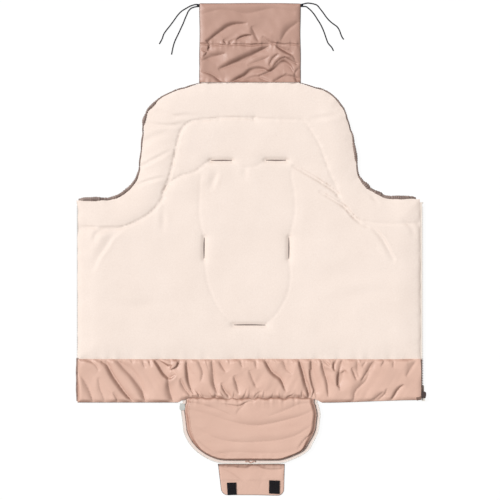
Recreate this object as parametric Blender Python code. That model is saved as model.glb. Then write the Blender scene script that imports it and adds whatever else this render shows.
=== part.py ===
# Stroller footmuff laid open flat, lining side up.
# Metres, +Z up, +X to the right and +Y towards the head end.
# The origin is on the underside of the back panel, midway between the two waist slots.
import math

import bmesh
import bpy
import numpy as np
from mathutils import Vector
from mathutils.geometry import delaunay_2d_cdt, intersect_line_line_2d

MM = 0.001

# Outline of the padded body
HALF_WIDTH = 421 * MM
HEAD_REACH = 414 * MM
FOOT_REACH = 380 * MM
SHOULDER_Y = 117 * MM
BAND_DEPTH = 105 * MM
FOLD_X = 219.5 * MM
SHOULDER_RADIUS = 97.5 * MM
SHOULDER_CENTRE_X = 362 * MM
HEAD_RADIUS = 99.5 * MM
HEAD_CENTRE_X = 157 * MM
HEAD_CENTRE_Y = 302 * MM
NOTCH_HALF_WIDTH = 172.5 * MM
NOTCH_DEPTH = 7.5 * MM

# Layers of a padded panel
GAP = 0.3 * MM
SHELL = 1.2 * MM
EDGE_LIFT = 8 * MM
EDGE_ROLL = 16 * MM
TAPE = 0.6 * MM
LINING = 3 * MM
CROWN = 5.6 * MM
SEAM_ROLL = 26 * MM
WADDING_INSET = 21 * MM
PAD_SPACING = 32 * MM

# Harness slots, as centre and length
SLOT_WIDTH = 5.4 * MM
SLEEVE_WALL = 0.9 * MM
SLEEVE_STAND = 0.5 * MM
SHOULDER_SLOT_X = 68 * MM
SHOULDER_SLOT_Y = 222.5 * MM
WAIST_SLOT_X = 105.6 * MM
HARNESS_SLOT_LENGTH = 52 * MM
CROTCH_SLOT_Y = 190 * MM
CROTCH_SLOT_LENGTH = 78 * MM

# Foot panel, tab and flap
FOOT_HALF_WIDTH = 158.5 * MM
FOOT_STRAIGHT = 74.2 * MM
FOOT_BEND_X = 125 * MM
FOOT_BEND = 128.2 * MM
FOOT_END_X = 74 * MM
FOOT_LENGTH = 154.2 * MM
FOOT_SPACING = 19 * MM
FOOT_FOLD_RISE = 1.6 * MM
FOOT_FOLD_STEP = 44 * MM
PIPING_RADIUS = 1.3 * MM
FOOT_TAPE_OUT = 8 * MM
FOOT_TAPE_IN = 7 * MM
FOOT_TAPE_START = 12 * MM
COIL_RADIUS = 1.2 * MM

TAB_HALF_WIDTH = 83 * MM
TAB_LENGTH = 79 * MM
TAB_TAPER = 2.5 * MM
TAB_CORNER = 15 * MM
TAB_INNER = 2.4 * MM
TAB_HINGE_Z = 13 * MM
HOOK_X = 53 * MM
HOOK_WIDTH = 26 * MM
HOOK_LENGTH = 31 * MM
HOOK_INSET = 2.5 * MM
HOOK_THICKNESS = 1.2 * MM
LOOP_RISE = 55 * MM
LOOP_INSET = 35 * MM

FLAP_HALF_WIDTH = 126 * MM
FLAP_LENGTH = 200.5 * MM
FLAP_SEAM_SHARE = 0.48
FLAP_FRONT = 2 * MM
FLAP_FOLD_RISE = 4.5 * MM
FLAP_FOLD_STEP = 52 * MM
FLAP_FOLD_SLOPE_SHARE = 0.55
FLAP_SPACING = 17 * MM

# Foot band
BAND_FOLD_RISE = 1.8 * MM
BAND_FOLD_STEP = 47 * MM
BAND_FOLD_SLOPE_SHARE = 0.45
BAND_SPACING = 21 * MM
BAND_ROLL = 20 * MM

# Front zip
TAPE_SEWN = 8 * MM
TAPE_SHOWN = 8.4 * MM
CHAIN_BEAD = 1.2 * MM
TOOTH_REACH = 2.5 * MM
TOOTH_PITCH = 4.2 * MM
TOOTH_ROOT = 1.3 * MM
TOOTH_HEAD = 2 * MM
CHAIN_THICKNESS = 2.4 * MM
STOP_LENGTH = 4 * MM
ZIP_BOX_LENGTH = 7 * MM
ZIP_BOX_WIDTH = 8 * MM
ZIP_PIN_WIDTH = 3 * MM

# Slider and its pull tab
SLIDER_LENGTH = 16 * MM
SLIDER_NOSE = 14 * MM
SLIDER_TAIL = 11 * MM
SLIDER_INNER = 3 * MM
SLIDER_PLATE = 1.4 * MM
SLIDER_LIP = 1.1 * MM
SLIDER_SLIT = 1.4 * MM
SLIDER_POST_WIDTH = 3 * MM
SLIDER_POST_LENGTH = 4 * MM
SLIDER_OVERLAP = 0.2 * MM
BRIDGE_WIDTH = 1.6 * MM
BRIDGE_THICKNESS = 1.1 * MM
BRIDGE_LENGTH = 7 * MM
BRIDGE_DROP = 3.9 * MM
PULL_LENGTH = 24 * MM
PULL_WIDTH = 6 * MM
PULL_THICKNESS = 1.2 * MM
PULL_EYE_WIDTH = 3.2 * MM
PULL_EYE_START = 0.9 * MM
PULL_EYE_LENGTH = 4.2 * MM
PULL_TILT_DEG = 11

# Gathered hood edge with its elastic
CASING_RADIUS = 2.6 * MM
CASING_WALL = 0.7 * MM
CASING_GATHER = 0.5 * MM
CASING_STEP = 10.5 * MM
ELASTIC_RADIUS = 0.9 * MM
CASING_HEAD_END_X = 132 * MM

# Lower hem zip tape
HEM_TAPE_SEWN = 8 * MM
HEM_BEAD = 1.8 * MM

# Drawcords of the top flap
CORD_RADIUS = 1.5 * MM
CORD_STEP = 7.5 * MM

# Heights that follow from the layers
TAPE_Z = EDGE_LIFT + SHELL + GAP
SEAM_Z = TAPE_Z + TAPE + GAP
EDGE_TOP_Z = SEAM_Z + LINING
PAD_TOP_Z = EDGE_TOP_Z + CROWN
CHAIN_Z = TAPE_Z + TAPE / 2
WING_HINGE_Z = PAD_TOP_Z + GAP
FOOT_HINGE_Z = PAD_TOP_Z + GAP
FLAP_HINGE_Z = PAD_TOP_Z + GAP
HEM_TAPE_Y = FOOT_REACH + GAP + HEM_BEAD
FOOT_HINGE_Y = HEM_TAPE_Y + GAP + GAP
BAND_TOP_Y = FOOT_REACH - BAND_DEPTH
FOOT_TOP_Y = FOOT_REACH - NOTCH_DEPTH + GAP
FOOT_STRAIGHT_Y = FOOT_TOP_Y + FOOT_STRAIGHT
FOOT_BEND_Y = FOOT_TOP_Y + FOOT_BEND
FOOT_END_Y = FOOT_TOP_Y + FOOT_LENGTH
LOOP_X = HALF_WIDTH - LOOP_INSET
LOOP_Y = FOOT_REACH - LOOP_RISE
CHAIN_X = HALF_WIDTH + TAPE_SHOWN + GAP
TEETH_X = CHAIN_X + CHAIN_BEAD + TOOTH_REACH
TAB_TOP_Y = FOOT_END_Y + FOOT_TAPE_OUT + GAP + 2 * COIL_RADIUS
FLAP_START_Y = HEAD_REACH + GAP

# Quilted seams, as shares of HALF_WIDTH and HEAD_REACH
SHOULDER_SEAM_SHARES = [
    (1.0, 0.144), (0.82, 0.139), (0.708, 0.154), (0.627, 0.188), (0.561, 0.248), (0.515, 0.325),
    (0.489, 0.394), (0.47, 0.464), (0.444, 0.56), (0.418, 0.649), (0.38, 0.726), (0.332, 0.764),
    (0.237, 0.779), (0.114, 0.785), (0.0, 0.787)]
HARNESS_SEAM_SHARES = [(0.228, 0.531), (0.267, 0.505), (0.362, 0.451), (0.43, 0.402), (0.489, 0.365)]
NECK_SEAM_SHARES = [(-0.088, 0.528), (-0.045, 0.505), (0.0, 0.498), (0.045, 0.505), (0.088, 0.528)]
SEAT_SEAM_UPPER_SHARES = [(0.297, 0.46), (0.292, 0.32), (0.285, 0.18), (0.263, 0.08)]
SEAT_SEAM_LOWER_SHARES = [
    (0.249, -0.085), (0.249, -0.188), (0.225, -0.284), (0.168, -0.38), (0.115, -0.44)]

# Routes of the four cord tails, chosen by hand from the corner of the flap outwards
CORD_ROUTES = {
    "cord_left_outer": [
        (-0.1263, 0.6128), (-0.1365, 0.6133), (-0.1490, 0.6097), (-0.1610, 0.6032), (-0.1725, 0.5958),
        (-0.1825, 0.5850), (-0.1912, 0.5727), (-0.2005, 0.5603), (-0.2103, 0.5480), (-0.2165, 0.5385),
        (-0.2198, 0.5288), (-0.2235, 0.5212), (-0.2275, 0.5143)],
    "cord_left_inner": [
        (-0.1263, 0.6085), (-0.1375, 0.6073), (-0.1480, 0.6035), (-0.1548, 0.5960), (-0.1585, 0.5878),
        (-0.1635, 0.5765), (-0.1680, 0.5650), (-0.1738, 0.5527), (-0.1795, 0.5402), (-0.1850, 0.5290),
        (-0.1893, 0.5192), (-0.1932, 0.5060), (-0.1968, 0.4878)],
    "cord_right_outer": [
        (0.1263, 0.6128), (0.1345, 0.6148), (0.1440, 0.6168), (0.1533, 0.6160), (0.1615, 0.6142),
        (0.1688, 0.6110), (0.1770, 0.6012), (0.1840, 0.5920), (0.1915, 0.5815), (0.1992, 0.5727),
        (0.2085, 0.5650), (0.2185, 0.5575), (0.2245, 0.5480), (0.2280, 0.5383), (0.2318, 0.5300),
        (0.2355, 0.5258)],
    "cord_right_inner": [
        (0.1263, 0.6085), (0.1400, 0.6080), (0.1478, 0.6028), (0.1553, 0.5957), (0.1625, 0.5865),
        (0.1688, 0.5765), (0.1750, 0.5670), (0.1800, 0.5575), (0.1842, 0.5480), (0.1878, 0.5383),
        (0.1915, 0.5272), (0.1955, 0.5172), (0.2003, 0.5110), (0.2050, 0.5058), (0.2095, 0.4970)]}

# Colour, roughness and metallic value of each material
FINISHES = {
    "fleece": ((0.93, 0.8, 0.71), 0.95, 0),
    "satin": ((0.72, 0.5, 0.42), 0.45, 0),
    "dark_satin": ((0.53, 0.33, 0.27), 0.45, 0),
    "binding": ((0.36, 0.24, 0.21), 0.7, 0),
    "wadding": ((0.9, 0.9, 0.88), 1, 0),
    "tape": ((0.86, 0.75, 0.68), 0.8, 0),
    "teeth": ((0.82, 0.72, 0.65), 0.4, 0),
    "hook_tape": ((0.016, 0.014, 0.016), 0.9, 0),
    "cord": ((0.03, 0.03, 0.04), 0.8, 0),
    "elastic": ((0.8, 0.78, 0.75), 0.9, 0),
    "slider": ((0.12, 0.1, 0.1), 0.35, 1)}


def clear_scene():
    for item in list(bpy.data.objects):
        bpy.data.objects.remove(item, do_unlink=True)


def material(name):
    found = bpy.data.materials.get(name)
    if found:
        return found
    colour, roughness, metallic = FINISHES[name]
    made = bpy.data.materials.new(name)
    made.use_nodes = True
    shader = made.node_tree.nodes["Principled BSDF"]
    shader.inputs["Base Color"].default_value = (*colour, 1)
    shader.inputs["Roughness"].default_value = roughness
    shader.inputs["Metallic"].default_value = metallic
    made.diffuse_color = (*colour, 1)
    return made


# Pivots: an empty stands on each joint's axis, and the pieces of that body hang from it
def pivot(name, place, parent=None):
    empty = bpy.data.objects.new(name, None)
    bpy.context.collection.objects.link(empty)
    empty["place"] = place
    hang(empty, parent, Vector(place))
    return empty


def hang(item, parent, place):
    item.parent = parent
    item.location = place - Vector(parent["place"]) if parent else place


def add_object(name, mesh, finish, parent, smooth=True):
    mesh.materials.append(material(finish))
    item = bpy.data.objects.new(name, mesh)
    bpy.context.collection.objects.link(item)
    hang(item, parent, Vector((0, 0, 0)))
    if smooth:
        mesh.shade_smooth()
        mesh.set_sharp_from_angle(angle=math.radians(40))
    return item


def mesh_from(name, points, faces):
    mesh = bpy.data.meshes.new(name)
    mesh.from_pydata([tuple(point) for point in points], [], faces)
    shape = bmesh.new()
    shape.from_mesh(mesh)
    bmesh.ops.recalc_face_normals(shape, faces=shape.faces)
    shape.to_mesh(mesh)
    shape.free()
    return mesh


# Plane geometry
def mirrored(line):
    return [(-x, y) for x, y in reversed(line)]


def arc(centre, radius, start_deg, end_deg, count):
    angles = [math.radians(start_deg + (end_deg - start_deg) * i / count) for i in range(count + 1)]
    return [(centre[0] + radius * math.cos(a), centre[1] + radius * math.sin(a)) for a in angles]


def arc_through(first, middle, last, count):
    a, b, c = (complex(*point) for point in (first, middle, last))
    ratio = (c - a) / (b - a)
    centre = (b - a) * (ratio - abs(ratio) ** 2) / (ratio - ratio.conjugate()) + a
    turn = [math.atan2((p - centre).imag, (p - centre).real) for p in (a, c)]
    sweep = (turn[1] - turn[0] + math.pi) % (2 * math.pi) - math.pi
    radius = abs(a - centre)
    angles = [turn[0] + sweep * i / count for i in range(count + 1)]
    return [(centre.real + radius * math.cos(t), centre.imag + radius * math.sin(t)) for t in angles]


def offset(line, distance):
    # To the left of the direction of travel
    result = []
    for i, point in enumerate(line):
        before = Vector(line[max(i - 1, 0)])
        after = Vector(line[min(i + 1, len(line) - 1)])
        way = (after - before).normalized()
        result.append((point[0] - way.y * distance, point[1] + way.x * distance))
    return result


def resampled(line, step):
    lengths = [0]
    for a, b in zip(line, line[1:]):
        lengths.append(lengths[-1] + math.dist(a, b))
    count = max(1, round(lengths[-1] / step))
    wanted = np.linspace(0, lengths[-1], count + 1)
    columns = [np.interp(wanted, lengths, [point[k] for point in line]) for k in range(len(line[0]))]
    return [tuple(float(value) for value in row) for row in zip(*columns)]


def smooth_line(line, step):
    # A curve through the points, evenly stepped
    points = [Vector(point) for point in line]
    ends = [points[0] * 2 - points[1]] + points + [points[-1] * 2 - points[-2]]
    dense = []
    for a, b, c, d in zip(ends, ends[1:], ends[2:], ends[3:]):
        for share in (0, 0.125, 0.25, 0.375, 0.5, 0.625, 0.75, 0.875):
            dense.append(0.5 * (2 * b + (c - a) * share + (2 * a - 5 * b + 4 * c - d) * share ** 2
                                + (3 * b - 3 * c + d - a) * share ** 3))
    dense.append(points[-1])
    return resampled([tuple(point) for point in dense], step)


def clipped(line, low, high):
    # The stretch of a line between two X values, with points put in where it crosses them
    result = []
    for a, b in zip(line, line[1:]):
        cuts = [a]
        for x in (low, high):
            if (a[0] - x) * (b[0] - x) < 0:
                share = (x - a[0]) / (b[0] - a[0])
                cuts.append((x, a[1] + (b[1] - a[1]) * share))
        result += sorted(cuts, key=lambda point: math.dist(point, a))
    result.append(line[-1])
    slack = GAP / 100
    return [point for point in result if low - slack <= point[0] <= high + slack]


def box_loop(x_low, x_high, y_low, y_high):
    return [(x_low, y_low), (x_high, y_low), (x_high, y_high), (x_low, y_high)]


def inside(point, loop):
    x, y = point
    hit = False
    for (ax, ay), (bx, by) in zip(loop, loop[1:] + loop[:1]):
        if (ay > y) != (by > y) and x < ax + (bx - ax) * (y - ay) / (by - ay):
            hit = not hit
    return hit


def distance_to(lines):
    # A function that gives the distance from a point to the nearest of several lines
    pairs = [(a, b) for line in lines for a, b in zip(line, line[1:])]
    starts = np.array([a for a, b in pairs])
    ways = np.array([b for a, b in pairs]) - starts
    squares = np.maximum((ways ** 2).sum(axis=1), GAP ** 4)

    def measure(point):
        to_point = np.array(point) - starts
        along = np.clip((to_point * ways).sum(axis=1) / squares, 0, 1)
        return float(np.sqrt(((to_point - along[:, None] * ways) ** 2).sum(axis=1).min()))

    return measure


def roll(distance, width):
    # Quarter round from 0 at an edge to 1 at a width in from it
    share = min(max(distance / width, 0), 1)
    return math.sqrt(1 - (1 - share) ** 2)


def crossed(loop, lines):
    # Puts a shared point into a loop and into each line where the two cross
    on_loop = {}
    cut_lines = []
    for line in lines:
        cut = [line[0]]
        for a, b in zip(line, line[1:]):
            hits = []
            for k, (c, d) in enumerate(zip(loop, loop[1:] + loop[:1])):
                hit = intersect_line_line_2d(Vector(a), Vector(b), Vector(c), Vector(d))
                if hit:
                    hits.append(tuple(hit))
                    on_loop.setdefault(k, []).append(tuple(hit))
            cut += sorted(hits, key=lambda point: math.dist(point, a)) + [b]
        cut_lines.append(cut)
    result = []
    for k, corner in enumerate(loop):
        result.append(corner)
        for hit in sorted(on_loop.get(k, []), key=lambda point: math.dist(point, corner)):
            after = loop[(k + 1) % len(loop)]
            if min(math.dist(hit, result[-1]), math.dist(hit, after)) > GAP / 10:
                result.append(hit)
    return result, cut_lines


# Solids
def prism(name, outline, low, high, finish, parent=None):
    count = len(outline)
    points = [(x, y, low) for x, y in outline] + [(x, y, high) for x, y in outline]
    faces = [tuple(range(count))[::-1], tuple(range(count, 2 * count))]
    faces += [(i, (i + 1) % count, (i + 1) % count + count, i + count) for i in range(count)]
    return add_object(name, mesh_from(name, points, faces), finish, parent)


def slab(name, finish, outline, underside, topside, parent=None, holes=(), creases=(), spacing=0,
         flat_base=False):
    # A sheet between two heights, triangulated so that its seams are edges of the mesh
    loops = [list(outline)] + [list(hole) for hole in holes]
    loops[0], creases = crossed(loops[0], creases)
    points = []
    edges = []
    for loop in loops:
        start = len(points)
        points += loop
        edges += [(start + i, start + (i + 1) % len(loop)) for i in range(len(loop))]
    rim_count = len(points)
    rim_edges = list(edges)

    def solid(point):
        return inside(point, loops[0]) and not any(inside(point, loop) for loop in loops[1:])

    rim = distance_to([loop + loop[:1] for loop in loops])
    near = (spacing or EDGE_ROLL) * 0.22
    for crease in creases:
        last = None
        for point in crease:
            on_rim = rim(point) < GAP / 10
            if on_rim:
                here = min(range(rim_count), key=lambda i: math.dist(points[i], point))
            elif solid(point) and rim(point) > near:
                points.append(point)
                here = len(points) - 1
            else:
                here = None
            if here is not None and last is not None and not (here < rim_count and last < rim_count):
                edges.append((last, here))
            last = here
    if spacing:
        seams = distance_to(creases) if creases else rim
        xs = [x for x, y in outline]
        ys = [y for x, y in outline]
        rows = math.ceil((max(ys) - min(ys)) / (spacing * 0.866))
        columns = math.ceil((max(xs) - min(xs)) / spacing)
        for row in range(rows + 1):
            for column in range(columns + 1):
                point = (min(xs) + (column + 0.5 * (row % 2)) * spacing, min(ys) + row * spacing * 0.866)
                if solid(point) and min(rim(point), seams(point)) > spacing * 0.42:
                    points.append(point)
    flat = [Vector(point) for point in points]
    corners, _, triangles, _, _, _ = delaunay_2d_cdt(flat, edges, [], 0, GAP / 1000)
    triangles = [face for face in triangles
                 if solid(tuple(sum((corners[i] for i in face), Vector((0, 0))) / len(face)))]
    used = sorted({i for face in triangles for i in face})
    order = {old: new for new, old in enumerate(used)}
    top = [tuple(corners[i]) for i in used]
    triangles = [tuple(order[i] for i in face) for face in triangles]
    seen = {}
    for face in triangles:
        for a, b in zip(face, face[1:] + face[:1]):
            seen[(a, b)] = seen.get((a, b), 0) + 1
    border = [pair for pair in seen if (pair[1], pair[0]) not in seen]
    solid_points = [(x, y, topside((x, y))) for x, y in top]
    if flat_base:
        base_corners, _, base_faces, _, _, _ = delaunay_2d_cdt(flat[:rim_count], rim_edges, [], 0, GAP / 1000)
        base_faces = [face for face in base_faces
                      if solid(tuple(sum((base_corners[i] for i in face), Vector((0, 0))) / len(face)))]
        base = [tuple(corner) for corner in base_corners]
        match = {i: min(range(len(base)), key=lambda k: math.dist(base[k], top[i])) for i, _ in border}
    else:
        base = top
        base_faces = triangles
        match = {i: i for i, _ in border}
    start = len(solid_points)
    solid_points += [(x, y, underside((x, y))) for x, y in base]
    faces = list(triangles) + [tuple(start + i for i in reversed(face)) for face in base_faces]
    faces += [(b, a, start + match[a], start + match[b]) for a, b in border]
    return add_object(name, mesh_from(name, solid_points, faces), finish, parent)


def tube(name, line, outer, inner, finish, parent=None, sides=8, gather=0):
    # A round tube along a line in space, hollow if it has an inner radius, gathered ring by ring
    path = [Vector(point) for point in line]
    rings = []
    for i, point in enumerate(path):
        way = (path[min(i + 1, len(path) - 1)] - path[max(i - 1, 0)]).normalized()
        across = Vector((-way.y, way.x, 0)).normalized()
        swell = gather * (i % 2) if 0 < i < len(path) - 1 else 0
        for radius in (outer - gather + swell, inner):
            if radius:
                rings.append([point + across * (radius * math.cos(2 * math.pi * k / sides))
                              + Vector((0, 0, radius * math.sin(2 * math.pi * k / sides)))
                              for k in range(sides)])
    layers = 2 if inner else 1
    count = len(path)

    def corner(i, layer, k):
        return (i * layers + layer) * sides + k % sides

    faces = []
    for layer in range(layers):
        for i in range(count - 1):
            for k in range(sides):
                faces.append((corner(i, layer, k), corner(i, layer, k + 1),
                              corner(i + 1, layer, k + 1), corner(i + 1, layer, k)))
    for i in (0, count - 1):
        if inner:
            faces += [(corner(i, 0, k), corner(i, 0, k + 1), corner(i, 1, k + 1), corner(i, 1, k))
                      for k in range(sides)]
        else:
            faces.append(tuple(corner(i, 0, k) for k in range(sides)))
    return add_object(name, mesh_from(name, [p for ring in rings for p in ring], faces), finish, parent)


def joined(item, pieces):
    # One body from pieces that run into each other
    for piece in pieces:
        piece.hide_render = True
        piece.display_type = "WIRE"
        union = item.modifiers.new(piece.name, "BOOLEAN")
        union.operation = "UNION"
        union.object = piece
    return item


# Outline of the padded body, right side, from the lower corner to the middle of the top edge
def side_line(inset=0):
    return [(HALF_WIDTH - inset, inset - FOOT_REACH), (HALF_WIDTH - inset, SHOULDER_Y - inset)]


def shoulder_line(inset=0):
    concave = arc((SHOULDER_CENTRE_X, SHOULDER_Y + SHOULDER_RADIUS), SHOULDER_RADIUS + inset, 270, 180, 9)
    convex = arc((HEAD_CENTRE_X, HEAD_CENTRE_Y), HEAD_RADIUS - inset, -4, 84, 8)
    top = [(FLAP_HALF_WIDTH, HEAD_REACH - inset - GAP * 5), (0, HEAD_REACH - inset)]
    return concave + convex + top


def body_line(inset=0):
    return side_line(inset) + shoulder_line(inset)


def right_loop(inset, low_x, high_x, bottom_y):
    # Closed outline of one panel between two fold lines on the right side
    line = resampled(body_line(inset), PAD_SPACING / 4)
    part = [point for point in clipped(line, low_x, high_x) if point[1] > bottom_y + GAP]
    start_x = min(high_x, HALF_WIDTH - inset)
    return [(low_x, bottom_y), (start_x, bottom_y)] + thinned(part)


def thinned(line):
    # Keeps only the points that bend the line, and one in every few along an arc
    kept = [line[0]]
    for i in range(1, len(line) - 1):
        way = Vector(line[i]) - Vector(kept[-1])
        ahead = Vector(line[i + 1]) - Vector(line[i])
        turned = abs(way.angle(ahead)) if way.length > 0 else 0
        if turned > math.radians(7) or way.length > PAD_SPACING * 1.3:
            kept.append(line[i])
    return kept + [line[-1]]


def subdivided(loop, step):
    result = []
    for a, b in zip(loop, loop[1:] + loop[:1]):
        count = max(1, round(math.dist(a, b) / step))
        result += [(a[0] + (b[0] - a[0]) * i / count, a[1] + (b[1] - a[1]) * i / count)
                   for i in range(count)]
    return result


def centre_loop(inset, top_only_y=None):
    # Between the fold lines; with no value the loop runs down to the lower hem and its notch
    edge = FOLD_X - GAP / 2
    if top_only_y is not None:
        half = right_loop(inset, 0, edge, top_only_y)[1:]
        return half + mirrored(half)[1:]
    half = right_loop(inset, 0, edge, inset - FOOT_REACH)[1:]
    notch_x = NOTCH_HALF_WIDTH + inset
    notch_y = inset - FOOT_REACH + NOTCH_DEPTH
    half = [(notch_x, notch_y), (notch_x, inset - FOOT_REACH)] + half
    return half + mirrored(half)[1:]


def slot_list():
    # Name, centre and half sizes along X and Y
    wide = HARNESS_SLOT_LENGTH / 2
    thin = SLOT_WIDTH / 2
    return [
        ("slot_shoulder_left", -SHOULDER_SLOT_X, SHOULDER_SLOT_Y, wide, thin),
        ("slot_shoulder_right", SHOULDER_SLOT_X, SHOULDER_SLOT_Y, wide, thin),
        ("slot_waist_left", -WAIST_SLOT_X, 0, thin, wide),
        ("slot_waist_right", WAIST_SLOT_X, 0, thin, wide),
        ("slot_crotch", 0, -CROTCH_SLOT_Y, CROTCH_SLOT_LENGTH / 2, thin)]


def slot_loops(grow):
    return [box_loop(x - a - grow, x + a + grow, y - b - grow, y + b + grow)
            for _, x, y, a, b in slot_list()]


def seam_lines():
    lines = []
    for shares in (SHOULDER_SEAM_SHARES, HARNESS_SEAM_SHARES, NECK_SEAM_SHARES,
                   SEAT_SEAM_UPPER_SHARES, SEAT_SEAM_LOWER_SHARES):
        line = [(a * HALF_WIDTH, b * HEAD_REACH) for a, b in shares]
        lines.append(resampled(line, PAD_SPACING * 0.8))
        if shares is not NECK_SEAM_SHARES:
            lines.append(mirrored(lines[-1]))
    return lines


def main():
    clear_scene()
    edges = [body_line(), mirrored(body_line()), [(-HALF_WIDTH, -FOOT_REACH), (HALF_WIDTH, -FOOT_REACH)]]
    edge_distance = distance_to(edges)
    seams = seam_lines()
    band_seam = [(-HALF_WIDTH, -BAND_TOP_Y), (HALF_WIDTH, -BAND_TOP_Y)]
    slots = [loop + loop[:1] for loop in slot_loops(SLEEVE_WALL + GAP)]
    pad_distance = distance_to(edges + seams + slots + [band_seam])
    band_distance = distance_to(edges + [band_seam])

    def shell_base(point):
        return EDGE_LIFT * (1 - roll(edge_distance(point), EDGE_ROLL))

    def shell_top(point):
        return shell_base(point) + SHELL

    def lining_top(point):
        return EDGE_TOP_Z + CROWN * roll(pad_distance(point), SEAM_ROLL)

    def band_top(point):
        swell = roll(band_distance(point), BAND_ROLL)
        slant = point[0] + point[1] * BAND_FOLD_SLOPE_SHARE
        fold = math.cos(2 * math.pi * slant / BAND_FOLD_STEP)
        return EDGE_TOP_Z + (CROWN - BAND_FOLD_RISE) * swell + BAND_FOLD_RISE * swell * fold

    def seam_level(point):
        return SEAM_Z

    wings = {}
    for side, name in ((1, "right"), (-1, "left")):
        wings[name] = pivot(name + "_wing_fold", (side * FOLD_X, 0, WING_HINGE_Z))
    make_centre(shell_base, shell_top, lining_top, band_top, seam_level, seams)
    for side, name in ((1, "right"), (-1, "left")):
        make_wing(side, name, wings[name], shell_base, shell_top, lining_top, band_top, seam_level, seams)
    make_zip_ends(wings)
    make_slider("front_slider", "front_pull", (TEETH_X, -FOOT_REACH + ZIP_BOX_LENGTH + GAP), 1, 1,
                wings["right"])
    foot = make_foot_panel()
    make_tab(foot)
    make_flap()


def oriented(loop, side):
    return loop if side > 0 else mirrored(loop)


def edge_rings():
    # Lines that follow the outer edge, where the shell curves up to it
    rings = []
    for inset in (EDGE_ROLL * 0.3, EDGE_ROLL):
        line = resampled(body_line(inset), PAD_SPACING)
        hem_y = inset - FOOT_REACH
        hem = resampled([(inset - HALF_WIDTH, hem_y), (HALF_WIDTH - inset, hem_y)], PAD_SPACING)
        rings += [line, mirrored(line), hem]
    return rings


def make_centre(shell_base, shell_top, lining_top, band_top, seam_level, seams):
    hole = SLEEVE_WALL + GAP
    step = PAD_SPACING
    slab("shell_centre", "satin", subdivided(centre_loop(0), step), shell_base, shell_top,
         holes=slot_loops(hole), creases=edge_rings())
    low = centre_loop(WADDING_INSET)
    slab("wadding_centre", "wadding", low, lambda p: SHELL + GAP, lambda p: SEAM_Z - GAP,
         holes=slot_loops(hole), flat_base=True)
    upper = centre_loop(0, GAP - BAND_TOP_Y)
    slab("lining_centre", "fleece", subdivided(upper, step), seam_level, lining_top,
         holes=slot_loops(hole), creases=seams, spacing=step, flat_base=True)
    full = centre_loop(0)
    lower = [point for point in full if point[1] < -BAND_TOP_Y]
    right = [point for point in lower if point[0] > 0]
    top_x = FOLD_X - GAP / 2
    half = right + [(top_x, -BAND_TOP_Y)]
    band = half + mirrored(half)
    slab("foot_band_centre", "satin", subdivided(band, BAND_SPACING), seam_level, band_top,
         spacing=BAND_SPACING, flat_base=True)
    for name, x, y, a, b in slot_list():
        outer = box_loop(x - a - SLEEVE_WALL, x + a + SLEEVE_WALL, y - b - SLEEVE_WALL, y + b + SLEEVE_WALL)
        slab(name, "binding", outer, lambda p: GAP, lambda p: EDGE_TOP_Z + SLEEVE_STAND,
             holes=[box_loop(x - a, x + a, y - b, y + b)], flat_base=True)
    for side, name in ((1, "right"), (-1, "left")):
        path = casing_path(CASING_HEAD_END_X, FOLD_X - GAP / 2)
        tube("hood_casing_head_" + name, casing_points(path, side), CASING_RADIUS,
             CASING_RADIUS - CASING_WALL - CASING_GATHER, "dark_satin", sides=6, gather=CASING_GATHER)
        hem_tape("hem_zip_tape_centre_" + name, side, NOTCH_HALF_WIDTH + GAP, FOLD_X - GAP / 2, None)


def casing_path(low_x, high_x):
    # Middle of the casing, just outside the padded edge
    line = resampled(body_line(-CASING_RADIUS - GAP)[1:], CASING_STEP / 4)
    return resampled(clipped(line, low_x, high_x), CASING_STEP)


def casing_points(path, side):
    return [(side * x, y, CHAIN_Z) for x, y in path]


def hem_tape(name, side, low_x, high_x, parent):
    # Zip tape sewn into the lower hem, with a bead along its free edge, drawn as a profile along X
    bead_low = CHAIN_Z - HEM_BEAD / 2
    bead_high = CHAIN_Z + HEM_BEAD / 2
    inner = HEM_TAPE_SEWN - FOOT_REACH
    edge = -FOOT_REACH - GAP
    profile = [(inner, TAPE_Z), (edge, TAPE_Z), (edge, bead_low), (-HEM_TAPE_Y, bead_low),
               (-HEM_TAPE_Y, bead_high), (edge, bead_high), (edge, TAPE_Z + TAPE), (inner, TAPE_Z + TAPE)]
    count = len(profile)
    points = [(side * x, y, z) for x in (low_x, high_x) for y, z in profile]
    faces = [tuple(range(count)), tuple(range(count, 2 * count))]
    faces += [(i, (i + 1) % count, (i + 1) % count + count, i + count) for i in range(count)]
    return add_object(name, mesh_from(name, points, faces), "tape", parent)


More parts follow.
